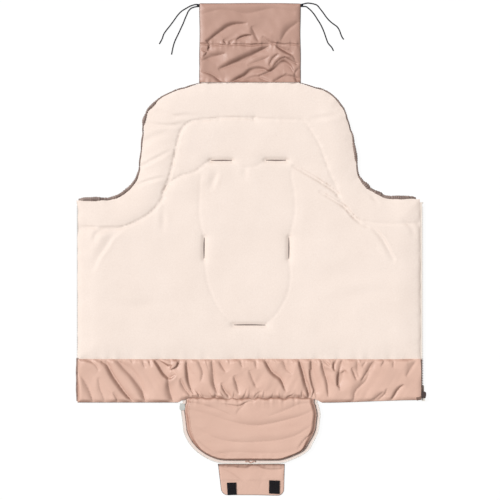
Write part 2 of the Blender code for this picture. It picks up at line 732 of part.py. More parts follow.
def make_wing(side, name, parent, shell_base, shell_top, lining_top, band_top, seam_level, seams):
    fold = FOLD_X + GAP / 2
    step = PAD_SPACING
    patch = box_loop(LOOP_X - HOOK_WIDTH / 2, LOOP_X + HOOK_WIDTH / 2,
                     -LOOP_Y - HOOK_LENGTH / 2, -LOOP_Y + HOOK_LENGTH / 2)
    hole = box_loop(patch[0][0] - GAP, patch[2][0] + GAP, patch[0][1] - GAP, patch[2][1] + GAP)
    full = right_loop(0, fold, HALF_WIDTH, -FOOT_REACH)
    slab("shell_" + name, "satin", oriented(subdivided(full, step), side), shell_base, shell_top, parent,
         holes=[oriented(hole, side)], creases=edge_rings())
    prism("loop_patch_" + name, oriented(patch, side), 0, SHELL, "hook_tape", parent)
    inner = right_loop(WADDING_INSET, fold, HALF_WIDTH, WADDING_INSET - FOOT_REACH)
    slab("wadding_" + name, "wadding", oriented(inner, side), lambda p: SHELL + GAP,
         lambda p: SEAM_Z - GAP, parent, flat_base=True)
    upper = right_loop(0, fold, HALF_WIDTH, GAP - BAND_TOP_Y)
    slab("lining_" + name, "fleece", oriented(subdivided(upper, step), side), seam_level, lining_top,
         parent, creases=seams, spacing=step, flat_base=True)
    band = box_loop(fold, HALF_WIDTH, -FOOT_REACH, -BAND_TOP_Y)
    slab("foot_band_" + name, "satin", oriented(subdivided(band, BAND_SPACING), side), seam_level,
         band_top, parent, spacing=BAND_SPACING, flat_base=True)
    tape = box_loop(HALF_WIDTH - TAPE_SEWN, HALF_WIDTH + TAPE_SHOWN, -FOOT_REACH + TAPE_SEWN + GAP,
                    SHOULDER_Y)
    prism("zip_tape_" + name, oriented(tape, side), TAPE_Z, TAPE_Z + TAPE, "tape", parent)
    make_chain(side, name, parent)
    hem_tape("hem_zip_tape_" + name, side, fold, HALF_WIDTH, parent)
    path = casing_path(fold, HALF_WIDTH)
    bore = CASING_RADIUS - CASING_WALL - CASING_GATHER
    tube("hood_casing_" + name, casing_points(path, side), CASING_RADIUS, bore, "dark_satin", parent,
         sides=6, gather=CASING_GATHER)
    tube("hood_elastic_" + name, casing_points(path, side), ELASTIC_RADIUS, 0, "elastic", parent,
         sides=6)


def make_chain(side, name, parent):
    # Moulded teeth on the cord along the tape's edge, with a stop at the head end
    low = -FOOT_REACH + ZIP_BOX_LENGTH + GAP
    high = SHOULDER_Y
    root = CHAIN_X + CHAIN_BEAD
    head = root + TOOTH_REACH
    shift = TOOTH_PITCH / 2 if side < 0 else 0
    count = int((high - low - STOP_LENGTH - TOOTH_PITCH) / TOOTH_PITCH)
    outline = [(CHAIN_X, high), (CHAIN_X, low), (root, low)]
    for i in range(count):
        middle = low + TOOTH_PITCH * (i + 0.5) + shift
        outline += [(root, middle - TOOTH_ROOT / 2), (head, middle - TOOTH_HEAD / 2),
                    (head, middle + TOOTH_HEAD / 2), (root, middle + TOOTH_ROOT / 2)]
    outline += [(root, high - STOP_LENGTH), (head, high - STOP_LENGTH), (head, high)]
    prism("zip_chain_" + name, oriented(outline, side), CHAIN_Z - CHAIN_THICKNESS / 2,
          CHAIN_Z + CHAIN_THICKNESS / 2, "teeth", parent)


def make_zip_ends(wings):
    start = -FOOT_REACH
    box = box_loop(CHAIN_X, CHAIN_X + ZIP_BOX_WIDTH, start, start + ZIP_BOX_LENGTH)
    half = CHAIN_THICKNESS / 2 + TAPE
    prism("zip_box", box, CHAIN_Z - half, CHAIN_Z + half, "teeth", wings["right"])
    pin = box_loop(CHAIN_X, CHAIN_X + ZIP_PIN_WIDTH, start, start + ZIP_BOX_LENGTH)
    prism("zip_pin", mirrored(pin), CHAIN_Z - half, CHAIN_Z + half, "teeth", wings["left"])


def make_slider(name, pull_name, place, side, heading, parent):
    # place is on the line where the two chains meet, at the slider's tail; it opens along heading
    # side tells which way this object's own chain lies from that line
    def at(x, y):
        return (place[0] + side * x, place[1] + heading * y)

    def block(part, x_low, x_high, y_low, y_high, z_low, z_high):
        corners = [at(x_low, y_low), at(x_high, y_low), at(x_high, y_high), at(x_low, y_high)]
        return prism(part, corners, z_low, z_high, "slider", carriage)

    carriage = pivot(name + "_path", (place[0], place[1], CHAIN_Z), parent)
    nose = SLIDER_NOSE / 2
    tail = SLIDER_TAIL / 2
    shape = [at(-tail, 0), at(tail, 0), at(nose, SLIDER_LENGTH * 0.45), at(nose, SLIDER_LENGTH * 0.85),
             at(nose * 0.6, SLIDER_LENGTH), at(-nose * 0.6, SLIDER_LENGTH),
             at(-nose, SLIDER_LENGTH * 0.85), at(-nose, SLIDER_LENGTH * 0.45)]
    inner = SLIDER_INNER / 2
    outer = inner + SLIDER_PLATE
    lap = SLIDER_OVERLAP
    body = prism(name, shape, CHAIN_Z - outer, CHAIN_Z - inner, "slider", carriage)
    upper = prism(name + "_upper", shape, CHAIN_Z + inner, CHAIN_Z + outer, "slider", carriage)
    post_low = GAP
    post = block(name + "_post", post_low, post_low + SLIDER_POST_WIDTH, SLIDER_LENGTH - SLIDER_POST_LENGTH
                 - SLIDER_PLATE, SLIDER_LENGTH - SLIDER_PLATE, CHAIN_Z - inner - lap, CHAIN_Z + inner + lap)
    pieces = [upper, post]
    slit = SLIDER_SLIT / 2
    for edge in (-1, 1):
        low_x = edge * (nose - SLIDER_LIP)
        for level, (z_low, z_high) in enumerate(((CHAIN_Z - inner - lap, CHAIN_Z - slit),
                                                 (CHAIN_Z + slit, CHAIN_Z + inner + lap))):
            pieces.append(block(f"{name}_lip_{edge}_{level}", low_x, edge * nose, SLIDER_LENGTH * 0.45,
                                SLIDER_LENGTH * 0.85, z_low, z_high))
    # The bridge hangs under the lower plate and holds the pull's end bar
    middle = SLIDER_LENGTH / 2
    top_z = CHAIN_Z - outer
    low_z = top_z - BRIDGE_DROP
    arch_y = BRIDGE_LENGTH / 2
    half = BRIDGE_WIDTH / 2
    for end in (-1, 1):
        pieces.append(block(f"{name}_leg_{end}", -half, half, middle + end * arch_y,
                            middle + end * (arch_y - BRIDGE_THICKNESS), low_z, top_z + lap))
    pieces.append(block(name + "_arch", -half, half, middle - arch_y, middle + arch_y, low_z,
                        low_z + BRIDGE_THICKNESS))
    joined(body, pieces)
    hinge_z = (low_z + BRIDGE_THICKNESS + top_z) / 2
    swing = pivot(pull_name + "_swing", (*at(0, middle), hinge_z), carriage)
    make_pull(pull_name, at(0, middle), hinge_z, heading, swing)
    return carriage


def make_pull(name, place, hinge_z, heading, parent):
    half = PULL_THICKNESS / 2
    wide = PULL_WIDTH / 2
    eye = PULL_EYE_WIDTH / 2
    outline = [(-wide, -half), (wide, -half), (wide, PULL_LENGTH * 0.85), (wide * 0.6, PULL_LENGTH),
               (-wide * 0.6, PULL_LENGTH), (-wide, PULL_LENGTH * 0.85)]
    hole = box_loop(-eye, eye, PULL_EYE_START, PULL_EYE_START + PULL_EYE_LENGTH)
    item = slab(name, "slider", outline, lambda p: -half, lambda p: half, holes=[hole], flat_base=True)
    turn = math.radians(-PULL_TILT_DEG)
    for vertex in item.data.vertices:
        x, y, z = vertex.co
        vertex.co = (x, heading * (y * math.cos(turn) - z * math.sin(turn)),
                     y * math.sin(turn) + z * math.cos(turn))
    if heading < 0:
        item.data.flip_normals()
    item.parent = parent
    item.location = (0, 0, 0)


def foot_line(inset=0):
    # Half of the foot panel's edge, from its upper right corner to the middle of its lower edge
    bend = arc_through((FOOT_HALF_WIDTH, -FOOT_STRAIGHT_Y), (FOOT_BEND_X, -FOOT_BEND_Y),
                       (FOOT_END_X, -FOOT_END_Y), 7)
    line = [(FOOT_HALF_WIDTH, -FOOT_TOP_Y - FOOT_TAPE_START)] + bend + [(0, -FOOT_END_Y)]
    return offset(resampled(line, FOOT_SPACING / 2), -inset)


def make_foot_panel():
    parent = pivot("foot_panel_fold", (0, -FOOT_HINGE_Y, FOOT_HINGE_Z))

    def loop(inset):
        half = [(FOOT_HALF_WIDTH - inset, -FOOT_TOP_Y - inset)] + foot_line(inset)[::2]
        return mirrored(half)[1:] + half[:-1] if half[-1][0] == 0 else mirrored(half) + half

    ring = loop(0)
    closed = ring + ring[:1]
    distance = distance_to([closed])

    def base(point):
        return EDGE_LIFT * (1 - roll(distance(point), EDGE_ROLL))

    def top(point):
        swell = roll(distance(point), SEAM_ROLL)
        span = math.hypot(point[0] * 0.5, point[1] + FOOT_TOP_Y)
        fold = math.cos(2 * math.pi * span / FOOT_FOLD_STEP)
        return EDGE_TOP_Z + (CROWN - FOOT_FOLD_RISE) * swell + FOOT_FOLD_RISE * swell * fold

    rings = [loop(EDGE_ROLL * 0.3), loop(EDGE_ROLL)]
    slab("foot_panel_shell", "satin", ring, base, lambda p: base(p) + SHELL, parent,
         creases=[line + line[:1] for line in rings])
    slab("foot_panel_wadding", "wadding", loop(WADDING_INSET), lambda p: SHELL + GAP,
         lambda p: SEAM_Z - GAP, parent, flat_base=True)
    slab("foot_panel_lining", "satin", ring, lambda p: SEAM_Z, top, parent, spacing=FOOT_SPACING,
         flat_base=True)
    piping = foot_line(-PIPING_RADIUS - GAP)
    piping = piping + mirrored(piping)[1:]
    tube("foot_panel_piping", [(x, y, SEAM_Z + PIPING_RADIUS) for x, y in piping[::2]], PIPING_RADIUS, 0,
         "dark_satin", parent, sides=6)
    outer = foot_line(-FOOT_TAPE_OUT)
    inner = foot_line(FOOT_TAPE_IN)
    outer = (outer + mirrored(outer)[1:])[::2]
    inner = (inner + mirrored(inner)[1:])[::2]
    prism("foot_zip_tape", outer + inner[::-1], TAPE_Z, TAPE_Z + TAPE, "tape", parent)
    coil = foot_line(-FOOT_TAPE_OUT - GAP - COIL_RADIUS)
    coil = coil + mirrored(coil)[1:]
    tube("foot_zip_coil", [(x, y, CHAIN_Z) for x, y in coil[::2]], COIL_RADIUS, 0, "teeth", parent, sides=6)
    start_y = -FOOT_TOP_Y - FOOT_TAPE_START
    meet = FOOT_HALF_WIDTH + FOOT_TAPE_OUT + GAP + 2 * COIL_RADIUS
    stop = box_loop(meet - 2 * COIL_RADIUS - COIL_RADIUS, meet, start_y + GAP,
                    start_y + GAP + STOP_LENGTH / 2)
    prism("foot_zip_stop", stop, CHAIN_Z - COIL_RADIUS, CHAIN_Z + COIL_RADIUS, "slider", parent)
    make_slider("foot_slider", "foot_pull", (-meet, start_y - STOP_LENGTH / 2), -1, -1, parent)
    return parent


def seam_rise(distance):
    # Height of cloth that climbs to the seam it is sewn into
    return EDGE_LIFT * (1 - roll(distance, EDGE_ROLL))


def seam_rings(half_width, seam_y, heading):
    levels = [seam_y + heading * inset for inset in (EDGE_ROLL * 0.12, EDGE_ROLL * 0.4, EDGE_ROLL)]
    return [resampled([(-half_width, y), (half_width, y)], PAD_SPACING) for y in levels]


def make_tab(foot):
    parent = pivot("tab_fold", (0, -TAB_TOP_Y - GAP / 2, TAB_HINGE_Z), foot)
    low = -TAB_TOP_Y - TAB_LENGTH
    narrow = TAB_HALF_WIDTH - TAB_TAPER
    corner = arc((narrow - TAB_CORNER, low + TAB_CORNER), TAB_CORNER, -90, 0, 5)
    half = corner + [(TAB_HALF_WIDTH, -TAB_TOP_Y - GAP)]
    outline = half + mirrored(half)
    rings = seam_rings(TAB_HALF_WIDTH * 2, -TAB_TOP_Y - GAP, -1)

    def base(point):
        return seam_rise(-TAB_TOP_Y - GAP - point[1])

    inner_z = SHELL + GAP
    slab("tab_outer", "satin", outline, base, lambda p: base(p) + SHELL, parent, creases=rings)
    slab("tab_inner", "satin", outline, lambda p: base(p) + inner_z, lambda p: base(p) + inner_z + TAB_INNER,
         parent, creases=rings)
    hook_z = inner_z + TAB_INNER + GAP
    for side, name in ((1, "right"), (-1, "left")):
        x = side * HOOK_X
        patch = box_loop(x - HOOK_WIDTH / 2, x + HOOK_WIDTH / 2, low + HOOK_INSET,
                         low + HOOK_INSET + HOOK_LENGTH)
        prism("hook_patch_" + name, patch, hook_z, hook_z + HOOK_THICKNESS, "hook_tape", parent)


def make_flap():
    parent = pivot("flap_fold", (0, HEAD_REACH + GAP / 2, FLAP_HINGE_Z))
    high = FLAP_START_Y + FLAP_LENGTH
    seam_y = FLAP_START_Y + FLAP_LENGTH * FLAP_SEAM_SHARE
    outline = box_loop(-FLAP_HALF_WIDTH, FLAP_HALF_WIDTH, FLAP_START_Y, high)
    rings = seam_rings(FLAP_HALF_WIDTH * 2, FLAP_START_Y, 1)

    def base(point):
        return seam_rise(point[1] - FLAP_START_Y)

    slab("flap_back", "dark_satin", subdivided(outline, PAD_SPACING), base, lambda p: base(p) + SHELL, parent,
         creases=rings)
    seam = resampled([(-FLAP_HALF_WIDTH, seam_y), (FLAP_HALF_WIDTH, seam_y)], FLAP_SPACING)
    distance = distance_to([outline + outline[:1], seam])

    def top(point):
        swell = roll(distance(point), FLAP_SPACING * 2)
        slant = point[0] * FLAP_FOLD_SLOPE_SHARE + point[1]
        step = FLAP_FOLD_STEP if point[1] < seam_y else FLAP_FOLD_STEP * 1.7
        fold = 0.5 + 0.5 * math.cos(2 * math.pi * slant / step)
        return base(point) + SHELL + GAP + FLAP_FRONT + FLAP_FOLD_RISE * swell * fold

    slab("flap_front", "dark_satin", subdivided(outline, PAD_SPACING), lambda p: base(p) + SHELL + GAP, top,
         parent, creases=[seam] + rings, spacing=FLAP_SPACING)
    for name, route in CORD_ROUTES.items():
        make_cord(name, route, parent)


def make_cord(name, route, parent):
    points = smooth_line([(x, y, CORD_RADIUS + GAP) for x, y in route], CORD_STEP)
    curve = bpy.data.curves.new(name, "CURVE")
    curve.dimensions = "3D"
    spline = curve.splines.new("POLY")
    spline.points.add(len(points) - 1)
    for spot, point in zip(spline.points, points):
        spot.co = (*point, 1)
    curve.bevel_depth = CORD_RADIUS
    curve.bevel_resolution = 2
    curve.use_fill_caps = True
    curve.materials.append(material("cord"))
    item = bpy.data.objects.new(name, curve)
    bpy.context.collection.objects.link(item)
    hang(item, parent, Vector((0, 0, 0)))


main()
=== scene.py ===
# Looks of a stroller footmuff that lies open and flat, lining side up. Lengths are in metres, names that end
# in _PX hold pixels of the photograph, and those that end in _DEG hold degrees
import math

import bpy
import numpy as np
from mathutils.geometry import delaunay_2d_cdt
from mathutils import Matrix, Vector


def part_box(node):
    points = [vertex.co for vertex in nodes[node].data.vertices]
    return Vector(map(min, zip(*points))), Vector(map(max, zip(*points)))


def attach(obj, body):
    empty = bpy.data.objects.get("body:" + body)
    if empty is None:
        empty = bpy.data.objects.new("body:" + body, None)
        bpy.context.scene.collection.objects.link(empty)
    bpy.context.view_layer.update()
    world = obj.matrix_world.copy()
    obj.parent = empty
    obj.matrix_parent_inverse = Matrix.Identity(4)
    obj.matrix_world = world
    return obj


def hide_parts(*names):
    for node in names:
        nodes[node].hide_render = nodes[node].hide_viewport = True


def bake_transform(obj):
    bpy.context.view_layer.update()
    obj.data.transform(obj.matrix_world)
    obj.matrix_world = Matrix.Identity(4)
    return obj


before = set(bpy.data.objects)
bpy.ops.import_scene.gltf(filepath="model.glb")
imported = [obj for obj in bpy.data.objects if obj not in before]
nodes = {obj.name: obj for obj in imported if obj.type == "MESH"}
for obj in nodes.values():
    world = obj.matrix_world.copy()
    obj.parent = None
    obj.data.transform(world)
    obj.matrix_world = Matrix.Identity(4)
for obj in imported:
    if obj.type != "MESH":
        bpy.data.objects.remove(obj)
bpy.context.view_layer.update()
MM = 0.001

# Camera: straight above, with the photograph's 500 by 500 frame
FRAME_PIXELS = 500
PIXEL = 2.5 * MM
CENTRE_PX = 250
CENTRE_PY = 249
LENS = 85
SENSOR = 36
SURFACE_Z = 12 * MM

# Sizes that the frame gives
SEAM_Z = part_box("lining_centre")[0].z
HALF_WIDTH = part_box("lining_right")[1].x
HEAD_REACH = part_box("lining_centre")[1].y
FOOT_REACH = -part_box("foot_band_centre")[0].y
BAND_TOP_Y = -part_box("foot_band_centre")[1].y
SHOULDER_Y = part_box("zip_tape_right")[1].y
TAPE_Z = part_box("zip_tape_right")[0].z
TAPE_TOP_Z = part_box("zip_tape_right")[1].z
CHAIN_Z = (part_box("zip_chain_right")[0].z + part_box("zip_chain_right")[1].z) / 2
FOLD_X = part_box("lining_centre")[1].x
FOOT_HALF_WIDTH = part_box("foot_panel_lining")[1].x
FOOT_TOP_Y = -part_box("foot_panel_lining")[1].y
FOOT_END_Y = -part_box("foot_panel_lining")[0].y
TAB_HALF_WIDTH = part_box("tab_inner")[1].x
TAB_TOP_Y = -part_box("tab_inner")[1].y
TAB_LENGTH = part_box("tab_inner")[1].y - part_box("tab_inner")[0].y
FLAP_HALF_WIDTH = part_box("flap_front")[1].x
FLAP_START_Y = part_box("flap_front")[0].y
FLAP_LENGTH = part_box("flap_front")[1].y - FLAP_START_Y
LOOP_LOW, LOOP_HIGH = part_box("loop_patch_right")
HOOK_TOP_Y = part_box("hook_patch_right")[1].y

# Outline of the padded body
SHOULDER_RADIUS = 97.5 * MM
SHOULDER_CENTRE_X = 362 * MM
HEAD_RADIUS = 99.5 * MM
HEAD_CENTRE_X = 157 * MM
HEAD_CENTRE_Y = 302 * MM
HEAD_ARC_DEG = (-4, 84)
HEAD_LAP = 1.8 * MM
NOTCH_HALF_WIDTH = 172.5 * MM
NOTCH_DEPTH = 7.5 * MM
NOTCH_START_X = 147 * MM
NOTCH_RUN = 33 * MM
SIDES = ((1, "right"), (-1, "left"))

# Outlines of the foot panel, its zip tape and the tab
FOOT_STRAIGHT_Y = 447 * MM
FOOT_BEND_X = 125 * MM
FOOT_BEND_Y = 501 * MM
FOOT_CORNER_X = 74 * MM
FOOT_CORNER = 10 * MM
FOOT_SMOOTHINGS = 10
FOOT_TAPE_START = 1 * MM
FOOT_TAPE_OUT = 8 * MM
FOOT_TAPE_IN = 7 * MM
TAB_CORNER = 15 * MM
TAB_TAPER = 2.5 * MM

# Layers, and how far each piece is filled
SHELL = 1.2 * MM
CLOTH = 0.9 * MM
GAP = 0.3 * MM
EDGE_LIFT = 8 * MM
EDGE_ROLL = 16 * MM
EDGE_TOP_Z = SEAM_Z + 1.6 * MM
CROWN = 4.1 * MM
CROWN_ROLL = 60 * MM
BAND_FILL = 4.9 * MM
FOOT_FILL = 6.0 * MM
TAB_FILL = 1.3 * MM
FLAP_FILL = 5.2 * MM
PAD_LEAST_Z = SEAM_Z + 0.7 * MM
PAD_LIMIT_Z = 18.8 * MM
PAD_LIMIT_EASE = 0.6 * MM
LOOP_PATCH_REST = 1.3 * MM

# Steps of the nets and curves
TINY = MM / 1000
LINING_STEP = 4 * MM
SHELL_STEP = 7 * MM
FOOT_SHELL_STEP = SHELL_STEP * 0.7
BACK_STEP = SHELL_STEP * 0.6
SATIN_STEP = 2.0 * MM
SIDE_BAND_STEP = 1.6 * MM
FOOT_TAPE_STEP = 3 * MM
HOOK_STEP = 1.1 * MM
LIP_STEP = 0.9 * MM
BINDING_STEP = 1.5 * MM
CREASE_STEP = 4 * MM
FOLD_STEP = 3 * MM
SPLINE_PARTS = 8

# Shares of a step: between the points along a seam, left free beside a seam and beside an edge, and the least
# between two points of an edge
FOLD_NET_SHARE = 0.8
LINE_CLEARANCE = 0.5
EDGE_CLEARANCE = 0.55
LEAST_SHARE = 0.35

# Normals at a cut: how far off the slope is read, and how upright a face has to be
NORMAL_REACH = 1.5 * MM
FACING = 0.3

# Where the wings' cloth is parted, and how far each hinge's bend reaches before and past its line
SPLIT_X = 190 * MM
BLEND_IN = 14 * MM
FOOT_HINGE = (1 * MM, 24 * MM)
TAB_HINGE = (0.5 * MM, 12 * MM)
FLAP_HINGE = (0.5 * MM, 16 * MM)

# Way in which every fold falls, so that its sloped face looks to the lower right, and how near to a seam a
# fold has to end to be carried on past it
FOLD_FALL = (0.89, -0.46)
SEAM_CATCH = 12 * MM
SEAM_PAST = 18 * MM

# Creases: reach and ridge are in widths of the valley, and END is how far into its swell each end already is
CREASE_REACH = 4
CREASE_END = 0.07
CREASE_TAPER = 0.6
RIDGE_HEIGHT = 0.35
RIDGE_AT = 1.9
RIDGE_WIDTH = 1.1

# Folds: a sloped face climbs from foot to top and eases out past it, and the other side is a long rise with a
# dip at the line. Heights are shares of the fold's height, and widths are shares of its width on that side
FACE_REACH = 4
RISE_REACH = 6
END_WIDTH = 0.45
FOLD_TAPER = 0.55
FACE_FOOT = -0.7
FACE_RISE = 0.9
FACE_CURVE = 1.7
FACE_TOP = 0.2
FACE_EASE = 1.3
DIP = 0.12
DIP_WIDTH = 0.3
RISE = 0.58
RISE_WIDTH = 2.4

# Noise: its integer hash, how far each layer is shifted in sizes, and what their sum is divided by
HASH_X, HASH_Y, HASH_SEED, HASH_MIX = 374761393, 668265263, 982451653, 1274126177
WORD = 0xffffffff
HALF_WORD = 0xffff
LAYER_SHIFT_X = 1.7
LAYER_SHIFT_Y = 2.3
LAYERS_HEIGHT = 1.6

# Zip coils, bindings and piping; the flap's binding is also dark as painted shade, and the lap strip is a
# painted shadow
COIL_PITCH = 1.8 * MM
COIL_STEP = 0.6 * MM
COIL_OUT = 1.5 * MM
HEM_COIL_OUT = 0.4 * MM
PIPING_OUT = 1.0 * MM
PIPING_STEP = 1.2 * MM
TAB_BINDING = 0.9 * MM
TAB_BINDING_IN = 0.4 * MM
FLAP_BINDING_SHADE = 1.0 * MM
FLAP_BINDING_IN = 0.6 * MM
LAP_SHADOW_STRIP = 0.8 * MM
LAP_IN = 2.4 * MM

# Gathered hood casings: where each ends beside the wing, and where it stands full beside the head
CASING_CUT_X = {"right": HALF_WIDTH - 8 * MM, "left": HALF_WIDTH - 4 * MM}
CASING_FULL_Y = {"right": (0.205, 0.262), "left": (0.292, 0.355)}
PLEAT_PITCH = 5.2 * MM

# Harness slots as centre and half length in millimetres, and whether they run along Y
SLOT_LIP = 1.35 * MM
SLOT_CLEARANCE = 0.2 * MM
SLOT_FLOOR_Z = 1 * MM
SLOT_POINTS = 32
SLOTS = {
    "slot_shoulder_left": (-71, 221, 26.5, False), "slot_shoulder_right": (65.5, 222.5, 26, False),
    "slot_waist_left": (-114, 2, 27, True), "slot_waist_right": (97, 2, 27, True),
    "slot_crotch": (-1.5, -190, 40.5, False)}

# Drawcords of the flap, and the stitched sleeve where both leave its corner
SLEEVE_LINE = [(0.1225, 0.6105), (0.1260, 0.6107), (0.1300, 0.6109), (0.1335, 0.6112)]
CORD_DIAMETER = 3.4 * MM
CORD_Z = 1.8 * MM
CORD_RING_STEP = 0.8 * MM
CORD_SIDES = 16
CORD_BRAID = 0.14 * MM
CORD_BRAID_PITCH = 5 * MM
CORD_ROUTES = {
    "cord_left_outer": [
        (-0.1263, 0.6128), (-0.1365, 0.6133), (-0.1490, 0.6097), (-0.1610, 0.6032), (-0.1725, 0.5958),
        (-0.1825, 0.5850), (-0.1912, 0.5727), (-0.2005, 0.5603), (-0.2103, 0.5480), (-0.2165, 0.5385),
        (-0.2198, 0.5288), (-0.2235, 0.5212), (-0.2275, 0.5143)],
    "cord_left_inner": [
        (-0.1263, 0.6085), (-0.1375, 0.6073), (-0.1480, 0.6035), (-0.1548, 0.5960), (-0.1585, 0.5878),
        (-0.1635, 0.5765), (-0.1680, 0.5650), (-0.1738, 0.5527), (-0.1795, 0.5402), (-0.1850, 0.5290),
        (-0.1893, 0.5192), (-0.1932, 0.5060), (-0.1968, 0.4878)],
    "cord_right_outer": [
        (0.1263, 0.6128), (0.1345, 0.6148), (0.1440, 0.6168), (0.1533, 0.6160), (0.1615, 0.6142),
        (0.1688, 0.6110), (0.1770, 0.6012), (0.1840, 0.5920), (0.1915, 0.5815), (0.1992, 0.5727),
        (0.2085, 0.5650), (0.2185, 0.5575), (0.2245, 0.5480), (0.2280, 0.5383), (0.2318, 0.5300),
        (0.2355, 0.5258)],
    "cord_right_inner": [
        (0.1263, 0.6085), (0.1400, 0.6080), (0.1478, 0.6028), (0.1553, 0.5957), (0.1625, 0.5865),
        (0.1688, 0.5765), (0.1750, 0.5670), (0.1800, 0.5575), (0.1842, 0.5480), (0.1878, 0.5383),
        (0.1915, 0.5272), (0.1955, 0.5172), (0.2003, 0.5110), (0.2050, 0.5058), (0.2095, 0.4970)]}

# Quilted seams and creases of the lining, as pixel coordinates of the photograph
SHOULDER_SEAM_LEFT_PX = [
    (77, 227), (116, 228), (130, 224.6), (143.5, 217.8), (155, 208.6), (163, 198.2), (164, 192.5),
    (167.6, 183.3), (171, 171.8), (174.5, 155.8), (178, 139.7), (182.5, 128.2), (191.7, 121.3),
    (207.8, 119.5), (230.7, 117.9), (253.7, 118.6)]
SHOULDER_SEAM_RIGHT_PX = [
    (253.7, 118.6), (280, 119.2), (299.6, 120.2), (307.6, 125.9), (318, 142), (323.7, 155.8),
    (329.4, 171.8), (336.3, 187.9), (342, 204), (354.7, 217.8), (368.5, 222.3), (391, 223.5), (423, 223.5)]
QUILT_DEPTHS = (0.8, 0.42, 0.6, 0.3, 0.3, 0.25, 0.25, 0.25, 0.25)
QUILT_SEAMS_PX = [
    SHOULDER_SEAM_LEFT_PX, SHOULDER_SEAM_RIGHT_PX,
    [(211, 160.4), (205.5, 163.8), (195, 171.8), (180, 176.4), (168.7, 184.5), (164, 192.5)],
    [(286.5, 159.7), (295, 165), (311, 174), (325, 183.3), (337.5, 193.6)],
    [(232, 161), (241, 167), (254, 167), (266, 160)],
    [(200.6, 176.7), (199.4, 196), (199, 218), (203.5, 236)],
    [(291, 172), (294, 196), (294, 215), (289.5, 236)],
    [(205, 260), (207, 280), (212, 296), (221, 312), (233, 324)],
    [(289, 260), (290, 280), (286.5, 296), (277.5, 312), (266, 324)]]

# Creases as (points, height in mm, width in mm on the near side, width on the far side)
LINING_CREASES_PX = [
    ([(94, 240), (96.4, 233.6), (102.4, 230), (114.5, 228.8)], -1.6, 5, 8),
    ([(121.8, 229), (112, 237), (106, 247), (98.8, 257), (94, 268)], -1.3, 5, 11),
    ([(163, 210), (163, 229)], -0.8, 7, 7), ([(138.5, 185.5), (150, 181), (164, 176.7)], -1.4, 3, 5),
    ([(142, 168), (154, 160.5), (169, 151)], -1.3, 3, 5),
    ([(135, 152), (150, 140), (168, 131)], -0.9, 6, 9), ([(216.4, 173), (211.5, 187.6)], -1.3, 6, 10),
    ([(320.3, 191.8), (344.5, 207), (353, 216.7), (361.5, 224), (367, 226.5)], -2.4, 3, 4),
    ([(368, 225.5), (374, 228.5), (383.3, 239.7), (394.2, 259)], -1.9, 3, 7),
    ([(293.5, 165.8), (305, 172.5), (321, 182), (335.5, 192), (337.5, 197)], -2.6, 3, 4),
    ([(160, 110.5), (168, 113.5), (174, 116), (185, 115), (197, 116)], -1.2, 4, 6),
    ([(152, 122.5), (161, 125), (172, 125.3), (181, 123.5)], -1.3, 4, 6),
    ([(366, 193), (372, 199), (378, 205)], -1.0, 4, 5), ([(403, 219), (411, 227), (413, 236)], -1.0, 4, 6),
    ([(245, 168), (246, 176)], -0.7, 6, 8), ([(312, 119), (322, 117.5), (340, 115)], -0.8, 5, 7),
    ([(84, 300), (130, 306), (170, 303)], -0.6, 12, 18),
    ([(330, 300), (370, 292), (410, 296)], -0.6, 12, 18)]

